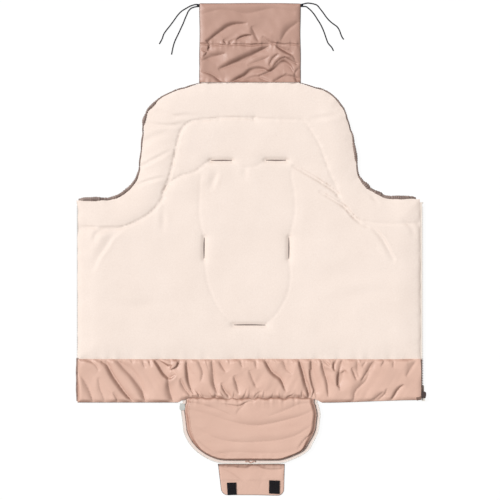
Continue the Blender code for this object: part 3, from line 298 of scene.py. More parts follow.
# Folds in the same form: of the foot band, its gathers, the foot panel, the tab and the flap
BAND_FOLDS_PX = [
    ([(81, 369.6), (86.8, 379.5), (93, 399)], -2.4, 4, 7),
    ([(89.5, 359.8), (95.7, 364.3), (99.3, 370.5)], -1.8, 3, 5),
    ([(100.2, 359.8), (107.3, 365.2), (113.6, 375.9), (122.5, 387.5), (132.3, 399.1)], -4.2, 4, 8),
    ([(117, 359.8), (124.3, 367), (135, 376.8), (142, 387.5), (144.8, 396.4)], -4.6, 4, 11),
    ([(98.4, 376.8), (100.2, 387.5), (103.8, 396.4)], -1.5, 4, 6),
    ([(112.7, 391), (117, 396.4), (118, 401)], -2.2, 3, 5),
    ([(155.5, 359.8), (160, 366), (164.5, 373.2), (169.8, 376.8), (176, 374)], -4.2, 4, 6),
    ([(168, 376.8), (169.8, 387.5), (173.4, 400)], -3.4, 5, 11),
    ([(161, 362.5), (167, 366), (172.5, 365.2)], -2.4, 3, 4),
    ([(179.6, 360.7), (177, 367), (169.8, 370.5)], -2.8, 3, 4),
    ([(186.8, 362), (188.6, 376.8), (190.4, 385.7), (194, 395)], -3.4, 4, 6),
    ([(180, 378), (185, 388.4), (192, 395.5)], -2.4, 3, 6),
    ([(199, 361), (203, 372), (201, 382)], -1.8, 4, 6),
    ([(212.5, 361), (213.8, 376.6), (215, 385.5), (218.9, 395)], -3.0, 5, 8),
    ([(220, 361), (226.5, 372)], -2.2, 4, 6), ([(221.4, 382), (224, 389), (229, 396.5)], -2.8, 3, 5),
    ([(234, 375.3), (236.7, 383), (239.3, 394)], -2.2, 4, 6), ([(241, 361), (243, 368)], -1.5, 4, 5),
    ([(249.5, 370), (253, 379), (257, 388)], -1.7, 4, 6), ([(256, 361), (257, 369)], -1.4, 4, 5),
    ([(266, 361), (272.4, 371.5), (281.4, 379), (286.5, 392)], -3.8, 4, 7),
    ([(284, 361), (287, 369), (293, 374)], -1.6, 4, 6),
    ([(300, 361), (303.5, 372), (306, 383), (309.4, 398)], -4.2, 4, 7),
    ([(312, 361), (313.3, 379), (315.8, 394)], -3.2, 4, 6),
    ([(310, 369), (313.2, 385), (316.4, 397)], -2.0, 3, 5), ([(324.4, 360.4), (331.5, 367)], -2.2, 3, 5),
    ([(322, 361), (325, 372.3), (327.5, 381.9), (328.3, 396)], -2.8, 4, 6),
    ([(342.7, 360.4), (339.5, 374), (340.3, 390)], -2.8, 4, 7), ([(334, 362), (335, 372)], -1.5, 4, 5),
    ([(369.8, 370), (365.8, 380.3), (356.3, 389.9), (353.9, 398)], -2.2, 4, 9),
    ([(404, 385), (398.5, 389.9), (393.7, 397.5)], -2.8, 3, 6),
    ([(383.4, 391.5), (376.2, 398)], -2.0, 4, 7), ([(357.8, 362), (357.8, 370), (359.4, 377)], -1.7, 4, 6),
    ([(413.7, 362), (411, 368), (406, 377)], -2.2, 5, 9), ([(366, 361), (362, 367)], -1.8, 3, 6),
    ([(384, 361), (381, 367)], -1.4, 3, 5), ([(337, 360), (334.5, 366), (335, 371)], -2.4, 3, 5),
    ([(346, 370), (341.5, 376), (337.5, 386)], -3.2, 3, 6),
    ([(352, 367), (354.5, 373), (357, 380)], -2.2, 3, 5),
    ([(373, 362), (366, 374), (361, 381)], -2.4, 3, 7), ([(387, 388), (385, 394), (379, 400)], -2.0, 3, 6),
    ([(394, 361), (393, 368)], -1.4, 4, 5), ([(143, 361), (145, 368)], -1.6, 3, 5),
    ([(150, 361), (150.5, 367)], -1.5, 3, 5)]

BAND_GATHERS_PX = [
    ([(194.6, 397.6), (191, 396), (187.5, 393)], -2.2, 2, 4),
    ([(200, 397), (198, 392.5), (194.6, 389.5)], -2.6, 2, 4),
    ([(206, 398), (203, 395), (200.4, 391)], -2.2, 2, 3), ([(211.2, 397.6), (209.3, 392.5)], -1.7, 2, 3),
    ([(217, 398.3), (213.8, 392.6)], -2.0, 2, 3), ([(226.5, 398.3), (222, 393), (219.5, 389)], -2.4, 2, 4),
    ([(231.6, 398.3), (226.5, 391)], -1.7, 2, 3), ([(234.2, 398.3), (233.5, 391)], -2.2, 2, 3),
    ([(243, 398), (246, 393), (247, 388)], -1.6, 2, 3),
    ([(253, 398.5), (257, 394), (262, 391)], -1.5, 2, 3), ([(263.5, 397.5), (264.8, 390)], -1.8, 2, 3),
    ([(272, 398), (274, 392)], -1.3, 2, 3), ([(281, 398), (279, 392)], -1.5, 2, 3),
    ([(289, 397), (291.5, 396), (294, 393)], -1.8, 2, 3), ([(302.5, 398.3), (301.8, 390)], -2.2, 2, 4),
    ([(308.8, 398.5), (309, 390), (307, 381)], -2.8, 2, 4),
    ([(312, 399), (313.6, 392), (316, 388)], -2.6, 2, 3), ([(104, 359), (107, 363)], -1.4, 2, 3),
    ([(131, 359), (132.5, 364)], -1.6, 2, 3), ([(148.5, 359), (149.5, 364)], -1.8, 2, 3),
    ([(206, 359), (207, 363)], -1.4, 2, 3), ([(229, 359), (230, 364)], -1.5, 2, 3),
    ([(275, 359), (277, 364)], -1.5, 2, 3), ([(293, 359), (295, 364)], -1.5, 2, 3),
    ([(317, 359), (318.5, 365)], -1.8, 2, 3), ([(330, 359), (332, 364)], -1.4, 2, 3),
    ([(361, 359), (360, 364)], -1.8, 2, 3), ([(376, 358.5), (374, 363)], -1.3, 2, 3)]

FOOT_FOLDS_PX = [
    ([(187, 408), (207.4, 414), (233, 422), (254.6, 425.5), (277.6, 422), (300.5, 415),
      (312, 409)], -2.6, 5, 12),
    ([(190, 424), (213.8, 437), (233, 441.6), (256, 442), (290, 437), (311, 424)], -2.1, 6, 12),
    ([(221.4, 403.4), (232, 405.5), (239.3, 406), (247, 402), (252, 400)], -2.6, 3, 5),
    ([(246, 403), (240, 409), (236, 414)], -1.3, 4, 6),
    ([(312, 431.4), (303, 440), (294, 449)], -1.9, 3, 5), ([(313, 437), (306, 445)], -1.6, 3, 4),
    ([(193, 434), (211.2, 449), (229, 456)], -1.7, 4, 8),
    ([(187, 402), (201, 404.6), (221.4, 411), (239.3, 420)], -1.9, 4, 8),
    ([(313, 402), (300, 404), (283, 411), (268, 416)], -1.4, 4, 8),
    ([(205, 455), (232, 452), (262, 453), (292, 452)], -1.2, 6, 9)]

TAB_FOLDS_PX = [
    ([(221.4, 468.4), (231.6, 472.2), (239.3, 478.6), (246, 482.4)], -1.7, 3, 7),
    ([(232, 468), (244, 469), (250, 466)], -1.5, 3, 5),
    ([(255, 466), (261, 469.5), (270, 471), (282, 469.5)], -1.6, 3, 5),
    ([(262, 481), (258, 486), (259, 493)], -0.9, 5, 8), ([(244, 485), (241, 491)], -0.8, 5, 7)]

FLAP_FOLDS_PX = [
    ([(271, 45), (265, 48.5), (258.5, 51.7), (246, 58.4), (233.6, 63.2), (218, 69)], -5.0, 4, 10),
    ([(275.5, 45), (284.3, 49.8), (292, 55)], -4.2, 3, 6),
    ([(207, 42), (212, 37.5), (220.2, 31.6), (231.7, 24.9), (247, 23)], -3.0, 5, 7),
    ([(201, 61), (211.6, 56.5), (226, 52.6)], -2.6, 5, 9),
    ([(233.5, 81), (245, 75.6), (252.7, 69.9), (262.3, 68.9), (270, 72)], -4.0, 3, 7),
    ([(258, 76), (270, 71.8), (276.7, 67), (283.3, 62.2), (290, 66), (294, 73)], -3.4, 3, 6),
    ([(269, 66), (272.8, 59.3), (279, 53.5)], -2.2, 3, 5), ([(247, 65), (264, 59), (270, 56)], -2.0, 4, 7),
    ([(235.5, 40.2), (242.2, 36.8), (252, 35)], -2.8, 3, 4),
    ([(204.9, 40.2), (209.7, 44), (207.7, 51)], -3.0, 3, 4),
    ([(258.5, 42), (254.5, 33.5), (251, 26)], -2.2, 5, 8),
    ([(281, 41), (287.2, 30.6), (299, 21)], -2.2, 8, 10),
    ([(201, 70.8), (211.6, 73.7), (221, 81)], -2.4, 4, 6),
    ([(200.5, 49), (207, 52), (203, 57)], -1.8, 3, 4),
    ([(200, 14), (222, 9), (246, 13), (272, 8), (296, 12)], -1.6, 9, 12),
    ([(282, 77), (290, 76), (299, 79)], -1.8, 3, 5), ([(284, 57), (293, 62), (299, 64)], -2.2, 3, 5),
    ([(223, 39), (227, 44)], -2.0, 3, 4), ([(229, 40), (231, 44)], -2.0, 3, 4),
    ([(262, 36), (268, 41.5), (276, 43)], -1.8, 4, 7), ([(273, 66.5), (279.5, 60), (286, 57)], -1.6, 3, 4),
    ([(246, 79.5), (256, 76.5), (266, 80)], -1.9, 3, 5), ([(274, 82), (281, 77.5), (288, 73)], -1.9, 3, 5),
    ([(288, 49), (293.5, 56), (297, 65)], -1.6, 3, 5), ([(299, 68), (295.5, 73), (296.5, 79)], -1.8, 3, 5)]

# Turned edge of the foot band along the left zip, folded end of the hem at its right corner, and the
# small tack on the tape above the tab
BAND_EDGE_PX = [(77.3, 358.2), (77.1, 368), (77.0, 378), (77.1, 390), (77.4, 401.0)]
HEM_END_PX = [(416.2, 398.7), (417.8, 398.2), (419.4, 397.9), (421.2, 397.9)]
TACK_PX = [
    (245.4, 461.9), (247.4, 461.0), (249.2, 462.1), (250.6, 463.0), (252, 462.2), (253.6, 461.0),
    (255.6, 461.9)]

# Hook patches as centre, width and length in pixels, and their turn in degrees
HOOK_SPOTS_PX = {
    "hook_patch_left": (229.7, 489.7, 10.4, 12.6, 2),
    "hook_patch_right": (272.8, 487.6, 10.6, 13, -2)}
HOOK_CORNER = 1 * MM
HOOK_SUNK = 0.6 * MM

# Stitched seam across the flap
FLAP_SEAM_Y = (CENTRE_PY - 44.3) * PIXEL

# Stage and light
FLOOR_HALF = 6.0
FLOOR_DROP = 0.1 * MM
FLOOR_SHOWN_WHITE = 0.93
FLOOR_GLOW = 1.03
KEY_FROM = (-0.63, 0.33, 0.70)
KEY_STRENGTH = 3.1
KEY_SPREAD_DEG = 16
WORLD_LEVEL = 0.33
WHITE = (1, 1, 1)

# Ends of every colour ramp, and the half width over which the painted shade on the front zip beside the band
# fades in
RAMP_LOW = 0.3
RAMP_HIGH = 0.7
BAND_SHADE_EDGE = 2 * MM

# Colour sockets of the Mix node
MIX_A = 6
MIX_B = 7
MIX_RESULT = 2


# Camera
def make_camera():
    data = bpy.data.cameras.new("camera")
    data.lens = LENS
    data.sensor_width = SENSOR
    item = bpy.data.objects.new("camera", data)
    bpy.context.scene.collection.objects.link(item)
    distance = FRAME_PIXELS * PIXEL * LENS / SENSOR
    item.location = (0, (CENTRE_PY - FRAME_PIXELS / 2) * PIXEL, SURFACE_Z + distance)
    bpy.context.scene.camera = item


# Lines in the plane, as arrays of points in metres
def from_pixels(points):
    return np.array([((x - CENTRE_PX) * PIXEL, (CENTRE_PY - y) * PIXEL) for x, y in points])


def resampled(line, step):
    line = np.asarray(line, float)
    lengths = np.concatenate([[0], np.cumsum(np.hypot(*np.diff(line[:, :2], axis=0).T))])
    count = max(1, round(lengths[-1] / step))
    wanted = np.linspace(0, lengths[-1], count + 1)
    return np.stack([np.interp(wanted, lengths, column) for column in line.T], axis=1)


def smooth_line(line, step):
    # An even curve through the points
    line = np.asarray(line, float)
    ends = np.vstack([line[0] * 2 - line[1], line, line[-1] * 2 - line[-2]])
    shares = np.arange(SPLINE_PARTS)[:, None] / SPLINE_PARTS
    dense = []
    for a, b, c, d in zip(ends, ends[1:], ends[2:], ends[3:]):
        dense.append(0.5 * (2 * b + (c - a) * shares + (2 * a - 5 * b + 4 * c - d) * shares ** 2
                            + (3 * b - 3 * c + d - a) * shares ** 3))
    dense.append(line[-1:])
    return resampled(np.vstack(dense), step)


def arc(centre, radius, start_deg, end_deg, count):
    angles = np.radians(np.linspace(start_deg, end_deg, count + 1))
    return np.stack([centre[0] + radius * np.cos(angles), centre[1] + radius * np.sin(angles)], axis=1)


def arc_through(first, middle, last, count):
    a, b, c = (complex(*point) for point in (first, middle, last))
    ratio = (c - a) / (b - a)
    centre = (b - a) * (ratio - abs(ratio) ** 2) / (ratio - ratio.conjugate()) + a
    turn = [math.atan2((p - centre).imag, (p - centre).real) for p in (a, c)]
    sweep = (turn[1] - turn[0] + math.pi) % (2 * math.pi) - math.pi
    angles = turn[0] + sweep * np.arange(count + 1) / count
    radius = abs(a - centre)
    return np.stack([centre.real + radius * np.cos(angles), centre.imag + radius * np.sin(angles)], axis=1)


def mirrored(line):
    return (line * [-1, 1])[::-1]


def both_sides(half):
    # A line that ends on the middle, carried on by its mirror image
    return np.vstack([half, mirrored(half)[1:]])


def closed(loop):
    return np.vstack([loop, loop[:1]])


def raised(line, height):
    # A flat line at one height, or at a height for each of its points
    return np.column_stack([line, np.full(len(line), height)])


def travel(path):
    return np.vstack([path[1:], path[-1:]]) - np.vstack([path[:1], path[:-1]])


def offset(line, distance):
    # To the left of the direction of travel
    way = travel(line)
    way = way / np.hypot(way[:, 0], way[:, 1])[:, None]
    return line + np.stack([-way[:, 1], way[:, 0]], axis=1) * distance


def line_field(points, line):
    # Distance from each point to a line, how far along it that is, and on which side
    best = np.full(len(points), np.inf)
    along = np.zeros(len(points))
    side = np.ones(len(points))
    start = 0.0
    for a, b in zip(line, line[1:]):
        way = b - a
        length = math.hypot(*way)
        if length < TINY:
            continue
        share = np.clip((points - a) @ way / length ** 2, 0, 1)
        away = points - a - share[:, None] * way
        distance = np.hypot(away[:, 0], away[:, 1])
        nearer = distance < best
        best = np.where(nearer, distance, best)
        along = np.where(nearer, start + share * length, along)
        side = np.where(nearer, np.sign(way[0] * away[:, 1] - way[1] * away[:, 0]), side)
        start += length
    return best, along, side, start


def nearest(points, lines):
    return np.min([line_field(points, line)[0] for line in lines], axis=0)


def loop_distance(points, loop):
    return line_field(points, closed(loop))[0]


def inside(points, loop):
    hit = np.zeros(len(points), bool)
    x, y = points[:, 0], points[:, 1]
    for (ax, ay), (bx, by) in zip(loop, np.roll(loop, -1, axis=0)):
        if ay != by:
            hit ^= ((ay > y) != (by > y)) & (x < ax + (bx - ax) * (y - ay) / (by - ay))
    return hit


def within(points, loops):
    # In the outer loop and out of every hole
    keep = inside(points, loops[0])
    for hole in loops[1:]:
        keep &= ~inside(points, hole)
    return keep


# Even noise on a lattice, from -1 to 1, the same in each run
def lattice_value(ix, iy, seed):
    # An integer hash of the lattice point and the seed
    mixed = (ix.astype(np.int64) * HASH_X + iy.astype(np.int64) * HASH_Y + seed * HASH_SEED) & WORD
    mixed = ((mixed ^ (mixed >> 13)) * HASH_MIX) & WORD
    return ((mixed ^ (mixed >> 16)) & HALF_WORD) / (HALF_WORD / 2) - 1


def noise(x, y, size, seed):
    x, y = x / size, y / size
    ix, iy = np.floor(x), np.floor(y)
    fx, fy = x - ix, y - iy
    fx, fy = fx * fx * (3 - 2 * fx), fy * fy * (3 - 2 * fy)
    a = lattice_value(ix, iy, seed) * (1 - fx) + lattice_value(ix + 1, iy, seed) * fx
    b = lattice_value(ix, iy + 1, seed) * (1 - fx) + lattice_value(ix + 1, iy + 1, seed) * fx
    return a * (1 - fy) + b * fy


def layered_noise(x, y, size, seed, layers=3):
    # Each layer is half as large and half as high as the one before
    total = 0
    for k in range(layers):
        layer = noise(x + k * size * LAYER_SHIFT_X, y - k * size * LAYER_SHIFT_Y, size / 2 ** k, seed + k)
        total = total + layer / 2 ** k
    return total / LAYERS_HEIGHT


# Profiles: a distance or a place in, a share of the height out
def roll(distance, width):
    # Quarter round from 0 at an edge to 1 at a width in from it
    share = np.clip(distance / width, 0, 1)
    return np.sqrt(1 - (1 - share) ** 2)


def soft_step(value):
    value = np.clip(value, 0, 1)
    return value * value * (3 - 2 * value)


def past(value, start, width):
    # 0 up to the start, and 1 from a width beyond it
    return soft_step((value - start) / width)


def bump(value, start, rise, end, fall):
    # 0 below the start, 1 between, and 0 again past the end
    return past(value, start, rise) * (1 - past(value, end, fall))


def eased_above(value, low, ease):
    return low + ease * np.logaddexp(0, (value - low) / ease)


def eased_below(value, high, ease):
    return high - ease * np.logaddexp(0, (high - value) / ease)


def hill(distance, width):
    return np.exp(-(distance / width) ** 2)


def fade(distance, width):
    return np.exp(-distance / width)


def flat_at(height):
    return lambda points: np.full(len(points), height)


# Outlines
def body_line():
    # The right half, from the foot corner up the side and round the shoulder to the head's middle
    side = [(HALF_WIDTH, -FOOT_REACH), (HALF_WIDTH, SHOULDER_Y)]
    concave = arc((SHOULDER_CENTRE_X, SHOULDER_Y + SHOULDER_RADIUS), SHOULDER_RADIUS, 270, 180, 30)
    convex = arc((HEAD_CENTRE_X, HEAD_CENTRE_Y), HEAD_RADIUS, *HEAD_ARC_DEG, 30)
    top = [(FLAP_HALF_WIDTH + 1 * MM, HEAD_REACH - 1 * MM),
           (FLAP_HALF_WIDTH - 4 * MM, HEAD_REACH + HEAD_LAP), (0, HEAD_REACH + HEAD_LAP)]
    return np.vstack([side, concave, convex, top])


def foot_line(inset=0):
    bend = arc_through((FOOT_HALF_WIDTH, -FOOT_STRAIGHT_Y), (FOOT_BEND_X, -FOOT_BEND_Y),
                       (FOOT_CORNER_X, -FOOT_END_Y), 20)
    line = np.vstack([[(FOOT_HALF_WIDTH, -FOOT_TOP_Y - FOOT_TAPE_START)], bend, [(0, -FOOT_END_Y)]])
    line = resampled(line, 4 * MM)
    for _ in range(FOOT_SMOOTHINGS):
        line[1:-1] = (line[:-2] + 2 * line[1:-1] + line[2:]) / 4
    return offset(line, -inset)


def foot_outline(inset=0):
    return both_sides(foot_line(inset))


def clipped_loop(loop, axis, level, keep_above):
    # The part of a closed loop on one side of a straight line
    result = []
    for a, b in zip(loop, np.roll(loop, -1, axis=0)):
        a_in = (a[axis] >= level) == keep_above
        b_in = (b[axis] >= level) == keep_above
        if a_in:
            result.append(a)
        if a_in != b_in:
            result.append(a + (b - a) * (level - a[axis]) / (b[axis] - a[axis]))
    return np.array(result)


def panel_loop(loop, name):
    # The centre's or one wing's share of a loop round the whole body
    if name == "centre":
        return clipped_loop(clipped_loop(loop, 0, SPLIT_X, False), 0, -SPLIT_X, True)
    right = name == "right"
    return clipped_loop(loop, 0, SPLIT_X if right else -SPLIT_X, right)


def notch_line():
    share = np.linspace(0, 1, 9)
    height = NOTCH_DEPTH * (1 - soft_step(share)) - FOOT_REACH
    return np.stack([NOTCH_START_X + NOTCH_RUN * share, height], axis=1)


def body_loop():
    return both_sides(np.vstack([notch_line(), body_line()]))


def even_loop(loop, step):
    # A closed loop with its corners kept and its long sides cut into even steps
    result = []
    for a, b in zip(loop, np.roll(loop, -1, axis=0)):
        count = max(1, round(math.dist(a, b) / step))
        result += [a + (b - a) * i / count for i in range(count)]
    kept = [result[0]]
    for point in result[1:]:
        if math.dist(point, kept[-1]) > step * LEAST_SHARE:
            kept.append(point)
    return np.array(kept)


# Small smooth shifts that every soft piece shares, so that no edge is ruler straight
def warp(points):
    # Places are in metres. Each amount moves one stretch of the outline and fades out at its ends
    x, y = points[:, 0], points[:, 1]
    wide, far = np.abs(x), np.abs(y)
    right, left = x > 0, x < 0
    head = 12.5 * MM * bump(y, 0.25, 0.09, 0.395, 0.02) * past(x, 0.12, 0.13)
    neck = -9 * MM * bump(y, 0.10, 0.05, 0.345, 0.04) * past(-x, 0.20, 0.06)
    head_left = 7 * MM * bump(y, 0.375, 0.02, 0.43, 0.01) * past(-x, 0.14, 0.05)
    sides = past(wide, 0.395, 0.024) * (y < 0.2)
    reach = np.where(right, 4.8 * MM + 1.8 * MM * past(-y, 0.26, 0.05), -10.4 * MM)
    foot = bump(-y, 0.383, 0.008, 0.60, 0.01) * (wide < 0.2)
    swell = 4 * MM * hill(y + 0.403, 0.022) * past(wide, 0.12, 0.03)
    corner = 5 * MM + 6 * MM * hill(y + 0.503, 0.014)
    corner = corner * past(x, 0.085, 0.035) * bump(-y, 0.39, 0.03, 0.52, 0.01)
    tab = past(-y, 0.53, 0.085) * (6.5 * MM * past(-x, 0.04, 0.04) + 1.6 * MM * right)
    low = 3 * MM * past(-y, 0.50, 0.05)
    foot = foot * (np.where(left, -1, 1) * swell + corner)
    shift = -head + neck + head_left + sides * reach + foot + tab + low
    calm = 1 - past(wide, 0.36, 0.05)
    free = calm * (1 - past(far, 0.36, 0.02) * (far < 0.45))
    gathered = past(y, 0.08, 0.03) * (y < 0.39) * (wide > 0.24)
    flutter = noise(x, y, 13 * MM, 14) * 1.6 * MM * gathered
    wave_x = noise(x, y, 60 * MM, 11) * 1.2 * MM * free
    wave_y = noise(x, y, 70 * MM, 12) * 1.0 * MM * free
    rise = np.where(right, 8 * MM, 4.5 * MM)
    shoulder = rise * past(wide, 0.27, 0.04) * past(y, 0.085, 0.03)
    droop = np.where(right, -3.5 * MM + 6.5 * MM * past(x, 0.18, 0.25), -3.2 * MM)
    hem = past(-y, 0.30, 0.06) * past(wide, 0.168, 0.012) * (far < 0.39)
    seam = hill(y + FOOT_TOP_Y, 9 * MM) * (1 - past(wide, 0.14, 0.015))
    ripple = noise(x, x * 0, 11 * MM, 15) * 1.9 * MM + noise(x, x * 0, 27 * MM, 16) * 1.7 * MM
    return np.stack([x + shift + wave_x + flutter,
                     y + wave_y + shoulder + hem * droop + seam * ripple + 0.6 * flutter], axis=1)


# Meshes
def link_object(name, mesh, material):
    mesh.materials.append(material)
    item = bpy.data.objects.new(name, mesh)
    bpy.context.scene.collection.objects.link(item)
    return item


def mesh_from(name, points, faces):
    mesh = bpy.data.meshes.new(name)
    mesh.from_pydata(np.asarray(points, float).tolist(), [], [list(map(int, face)) for face in faces])
    mesh.update()
    mesh.shade_smooth()
    return mesh


def dress(item, slot, carrier, *replaced):
    # The carrier is one body, which the piece is attached to, or two bodies with the start and end of the
    # bend between them, which are left unused while the piece's place is baked into its mesh
    if isinstance(carrier, str):
        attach(item, carrier)
    else:
        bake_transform(item)
    if replaced:
        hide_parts(*replaced)
    return item


def wing_fold(side, name):
    return "root", name + "_wing", (side * (FOLD_X - BLEND_IN), 0, 0), (side * (FOLD_X + BLEND_IN), 0, 0)


def panel_net(loops, step, seams):
    # Even triangles between the loops, with rows of points along the seams and folds
    edges = []
    start = 0
    for part in loops:
        count = len(part)
        edges += [(start + i, start + (i + 1) % count) for i in range(count)]
        start += count
    points = np.vstack(loops)
    low, high = points.min(axis=0), points.max(axis=0)
    rows = np.arange(low[1], high[1], step * math.sqrt(3) / 2)
    grid_x, grid_y = np.meshgrid(np.arange(low[0], high[0], step), rows)
    grid_x = grid_x + (np.arange(len(rows)) % 2)[:, None] * step / 2
    net = np.stack([grid_x.ravel(), grid_y.ravel()], axis=1)
    rings = [closed(part) for part in loops]
    away = nearest(net, rings) / EDGE_CLEARANCE
    extra = []
    for line in seams:
        dense = resampled(line, step * FOLD_NET_SHARE)
        dense = dense[within(dense, loops) & (nearest(dense, rings) > step * LINE_CLEARANCE)]
        if len(dense) > 1:
            extra.append(dense)
            away = np.minimum(away, line_field(net, dense)[0] / LINE_CLEARANCE)
    flat = np.vstack([points, net[within(net, loops) & (away > step)], *extra])
    corners, _, faces, _, _, _ = delaunay_2d_cdt(flat.tolist(), edges, [], 0, TINY)
    corners = np.array([tuple(corner) for corner in corners])
    faces = np.array(faces)
    faces = faces[within(corners[faces].mean(axis=1), loops)]
    used, faces = np.unique(faces, return_inverse=True)
    return corners[used], faces.reshape(-1, 3)


def cloth_panel(name, loop, step, top, bottom, material, holes=(), seams=(), split_x=None):
    # A closed panel between two height functions, on an even triangle net that follows its seams
    loops = [even_loop(np.asarray(part, float), step) for part in [loop, *holes]]
    corners, faces = panel_net(loops, step, seams)
    count = len(corners)
    pairs = np.vstack([faces[:, [0, 1]], faces[:, [1, 2]], faces[:, [2, 0]]])
    keys = pairs[:, 0] * count + pairs[:, 1]
    back = pairs[:, 1] * count + pairs[:, 0]
    border = pairs[~np.isin(keys, back)]
    flat = warp(corners)
    points = np.vstack([np.column_stack([flat, height(corners)]) for height in (top, bottom)])
    walls = [(b, a, a + count, b + count) for a, b in border]
    mesh = mesh_from(name, points, [*faces, *(faces[:, ::-1] + count), *walls])
    rim = {tuple(sorted(pair)) for pair in np.vstack([border, border + count]).tolist()}
    for edge in mesh.edges:
        edge.use_edge_sharp = tuple(sorted(edge.vertices)) in rim
    item = link_object(name, mesh, material)
    if split_x is not None:
        match_normals(mesh, corners, top, bottom, split_x)
    return item


def match_normals(mesh, corners, top, bottom, split_x):
    # Points on a cut between two panels take the normal of the whole surface
    count = len(corners)
    at_cut = np.where(np.abs(np.abs(corners[:, 0]) - split_x) < 10 * TINY)[0]
    if not len(at_cut):
        return
    normals = np.zeros(len(mesh.loops) * 3)
    mesh.corner_normals.foreach_get("vector", normals)
    normals = normals.reshape(-1, 3)
    corner_of = np.zeros(len(mesh.loops), int)
    mesh.loops.foreach_get("vertex_index", corner_of)
    spot = corners[at_cut]
    for height, shift, sign in ((top, 0, 1), (bottom, count, -1)):
        along_x, along_y = [(height(spot + way) - height(spot - way)) / (2 * NORMAL_REACH)
                            for way in ([NORMAL_REACH, 0], [0, NORMAL_REACH])]
        matched = np.zeros((2 * count, 3))
        matched[at_cut + shift] = np.stack([-along_x, -along_y, np.ones(len(spot))], axis=1) * sign
        there = np.isin(corner_of, at_cut + shift) & (normals[:, 2] * sign > FACING)
        normal = matched[corner_of[there]]
        normals[there] = normal / np.linalg.norm(normal, axis=1)[:, None]
    mesh.normals_split_custom_set(normals.tolist())


def swept_tube(name, path, radius, material, sides=10, rise_share=1.0):
    # radius is a number, or a function of (distance along, angle) for relief
    path = np.asarray(path, float)
    way = travel(path)
    way = way / np.linalg.norm(way, axis=1)[:, None]
    across = np.stack([-way[:, 1], way[:, 0], np.zeros(len(way))], axis=1)
    across = across / np.linalg.norm(across, axis=1)[:, None]
    rise = np.cross(way, across)
    steps = np.linalg.norm(np.diff(path, axis=0), axis=1)
    along = np.concatenate([[0], np.cumsum(steps)])
    angles = np.arange(sides) * 2 * math.pi / sides
    grid_s, grid_a = np.meshgrid(along, angles, indexing="ij")
    size = radius(grid_s, grid_a) if callable(radius) else np.full(grid_s.shape, radius)
    points = (path[:, None, :] + across[:, None, :] * (size * np.cos(grid_a))[..., None]
              + rise[:, None, :] * (size * rise_share * np.sin(grid_a))[..., None])
    faces = []
    for i in range(len(path) - 1):
        for k in range(sides):
            a, b = i * sides + k, i * sides + (k + 1) % sides
            faces.append((a, b, b + sides, a + sides))
    faces.append(tuple(range(sides))[::-1])
    last = (len(path) - 1) * sides
    faces.append(tuple(range(last, last + sides)))
    return link_object(name, mesh_from(name, points.reshape(-1, 3), faces), material)


def rippled(size, swing, run, turns=1):
    # Radius that rises and falls by the swing along a run, all in millimetres
    return lambda s, a: (size + swing * np.sin(s / (run * MM) + turns * a)) * MM


def coiled(size, swing):
    return lambda s, a: (size + swing * np.sin(2 * math.pi * s / COIL_PITCH + a)) * MM


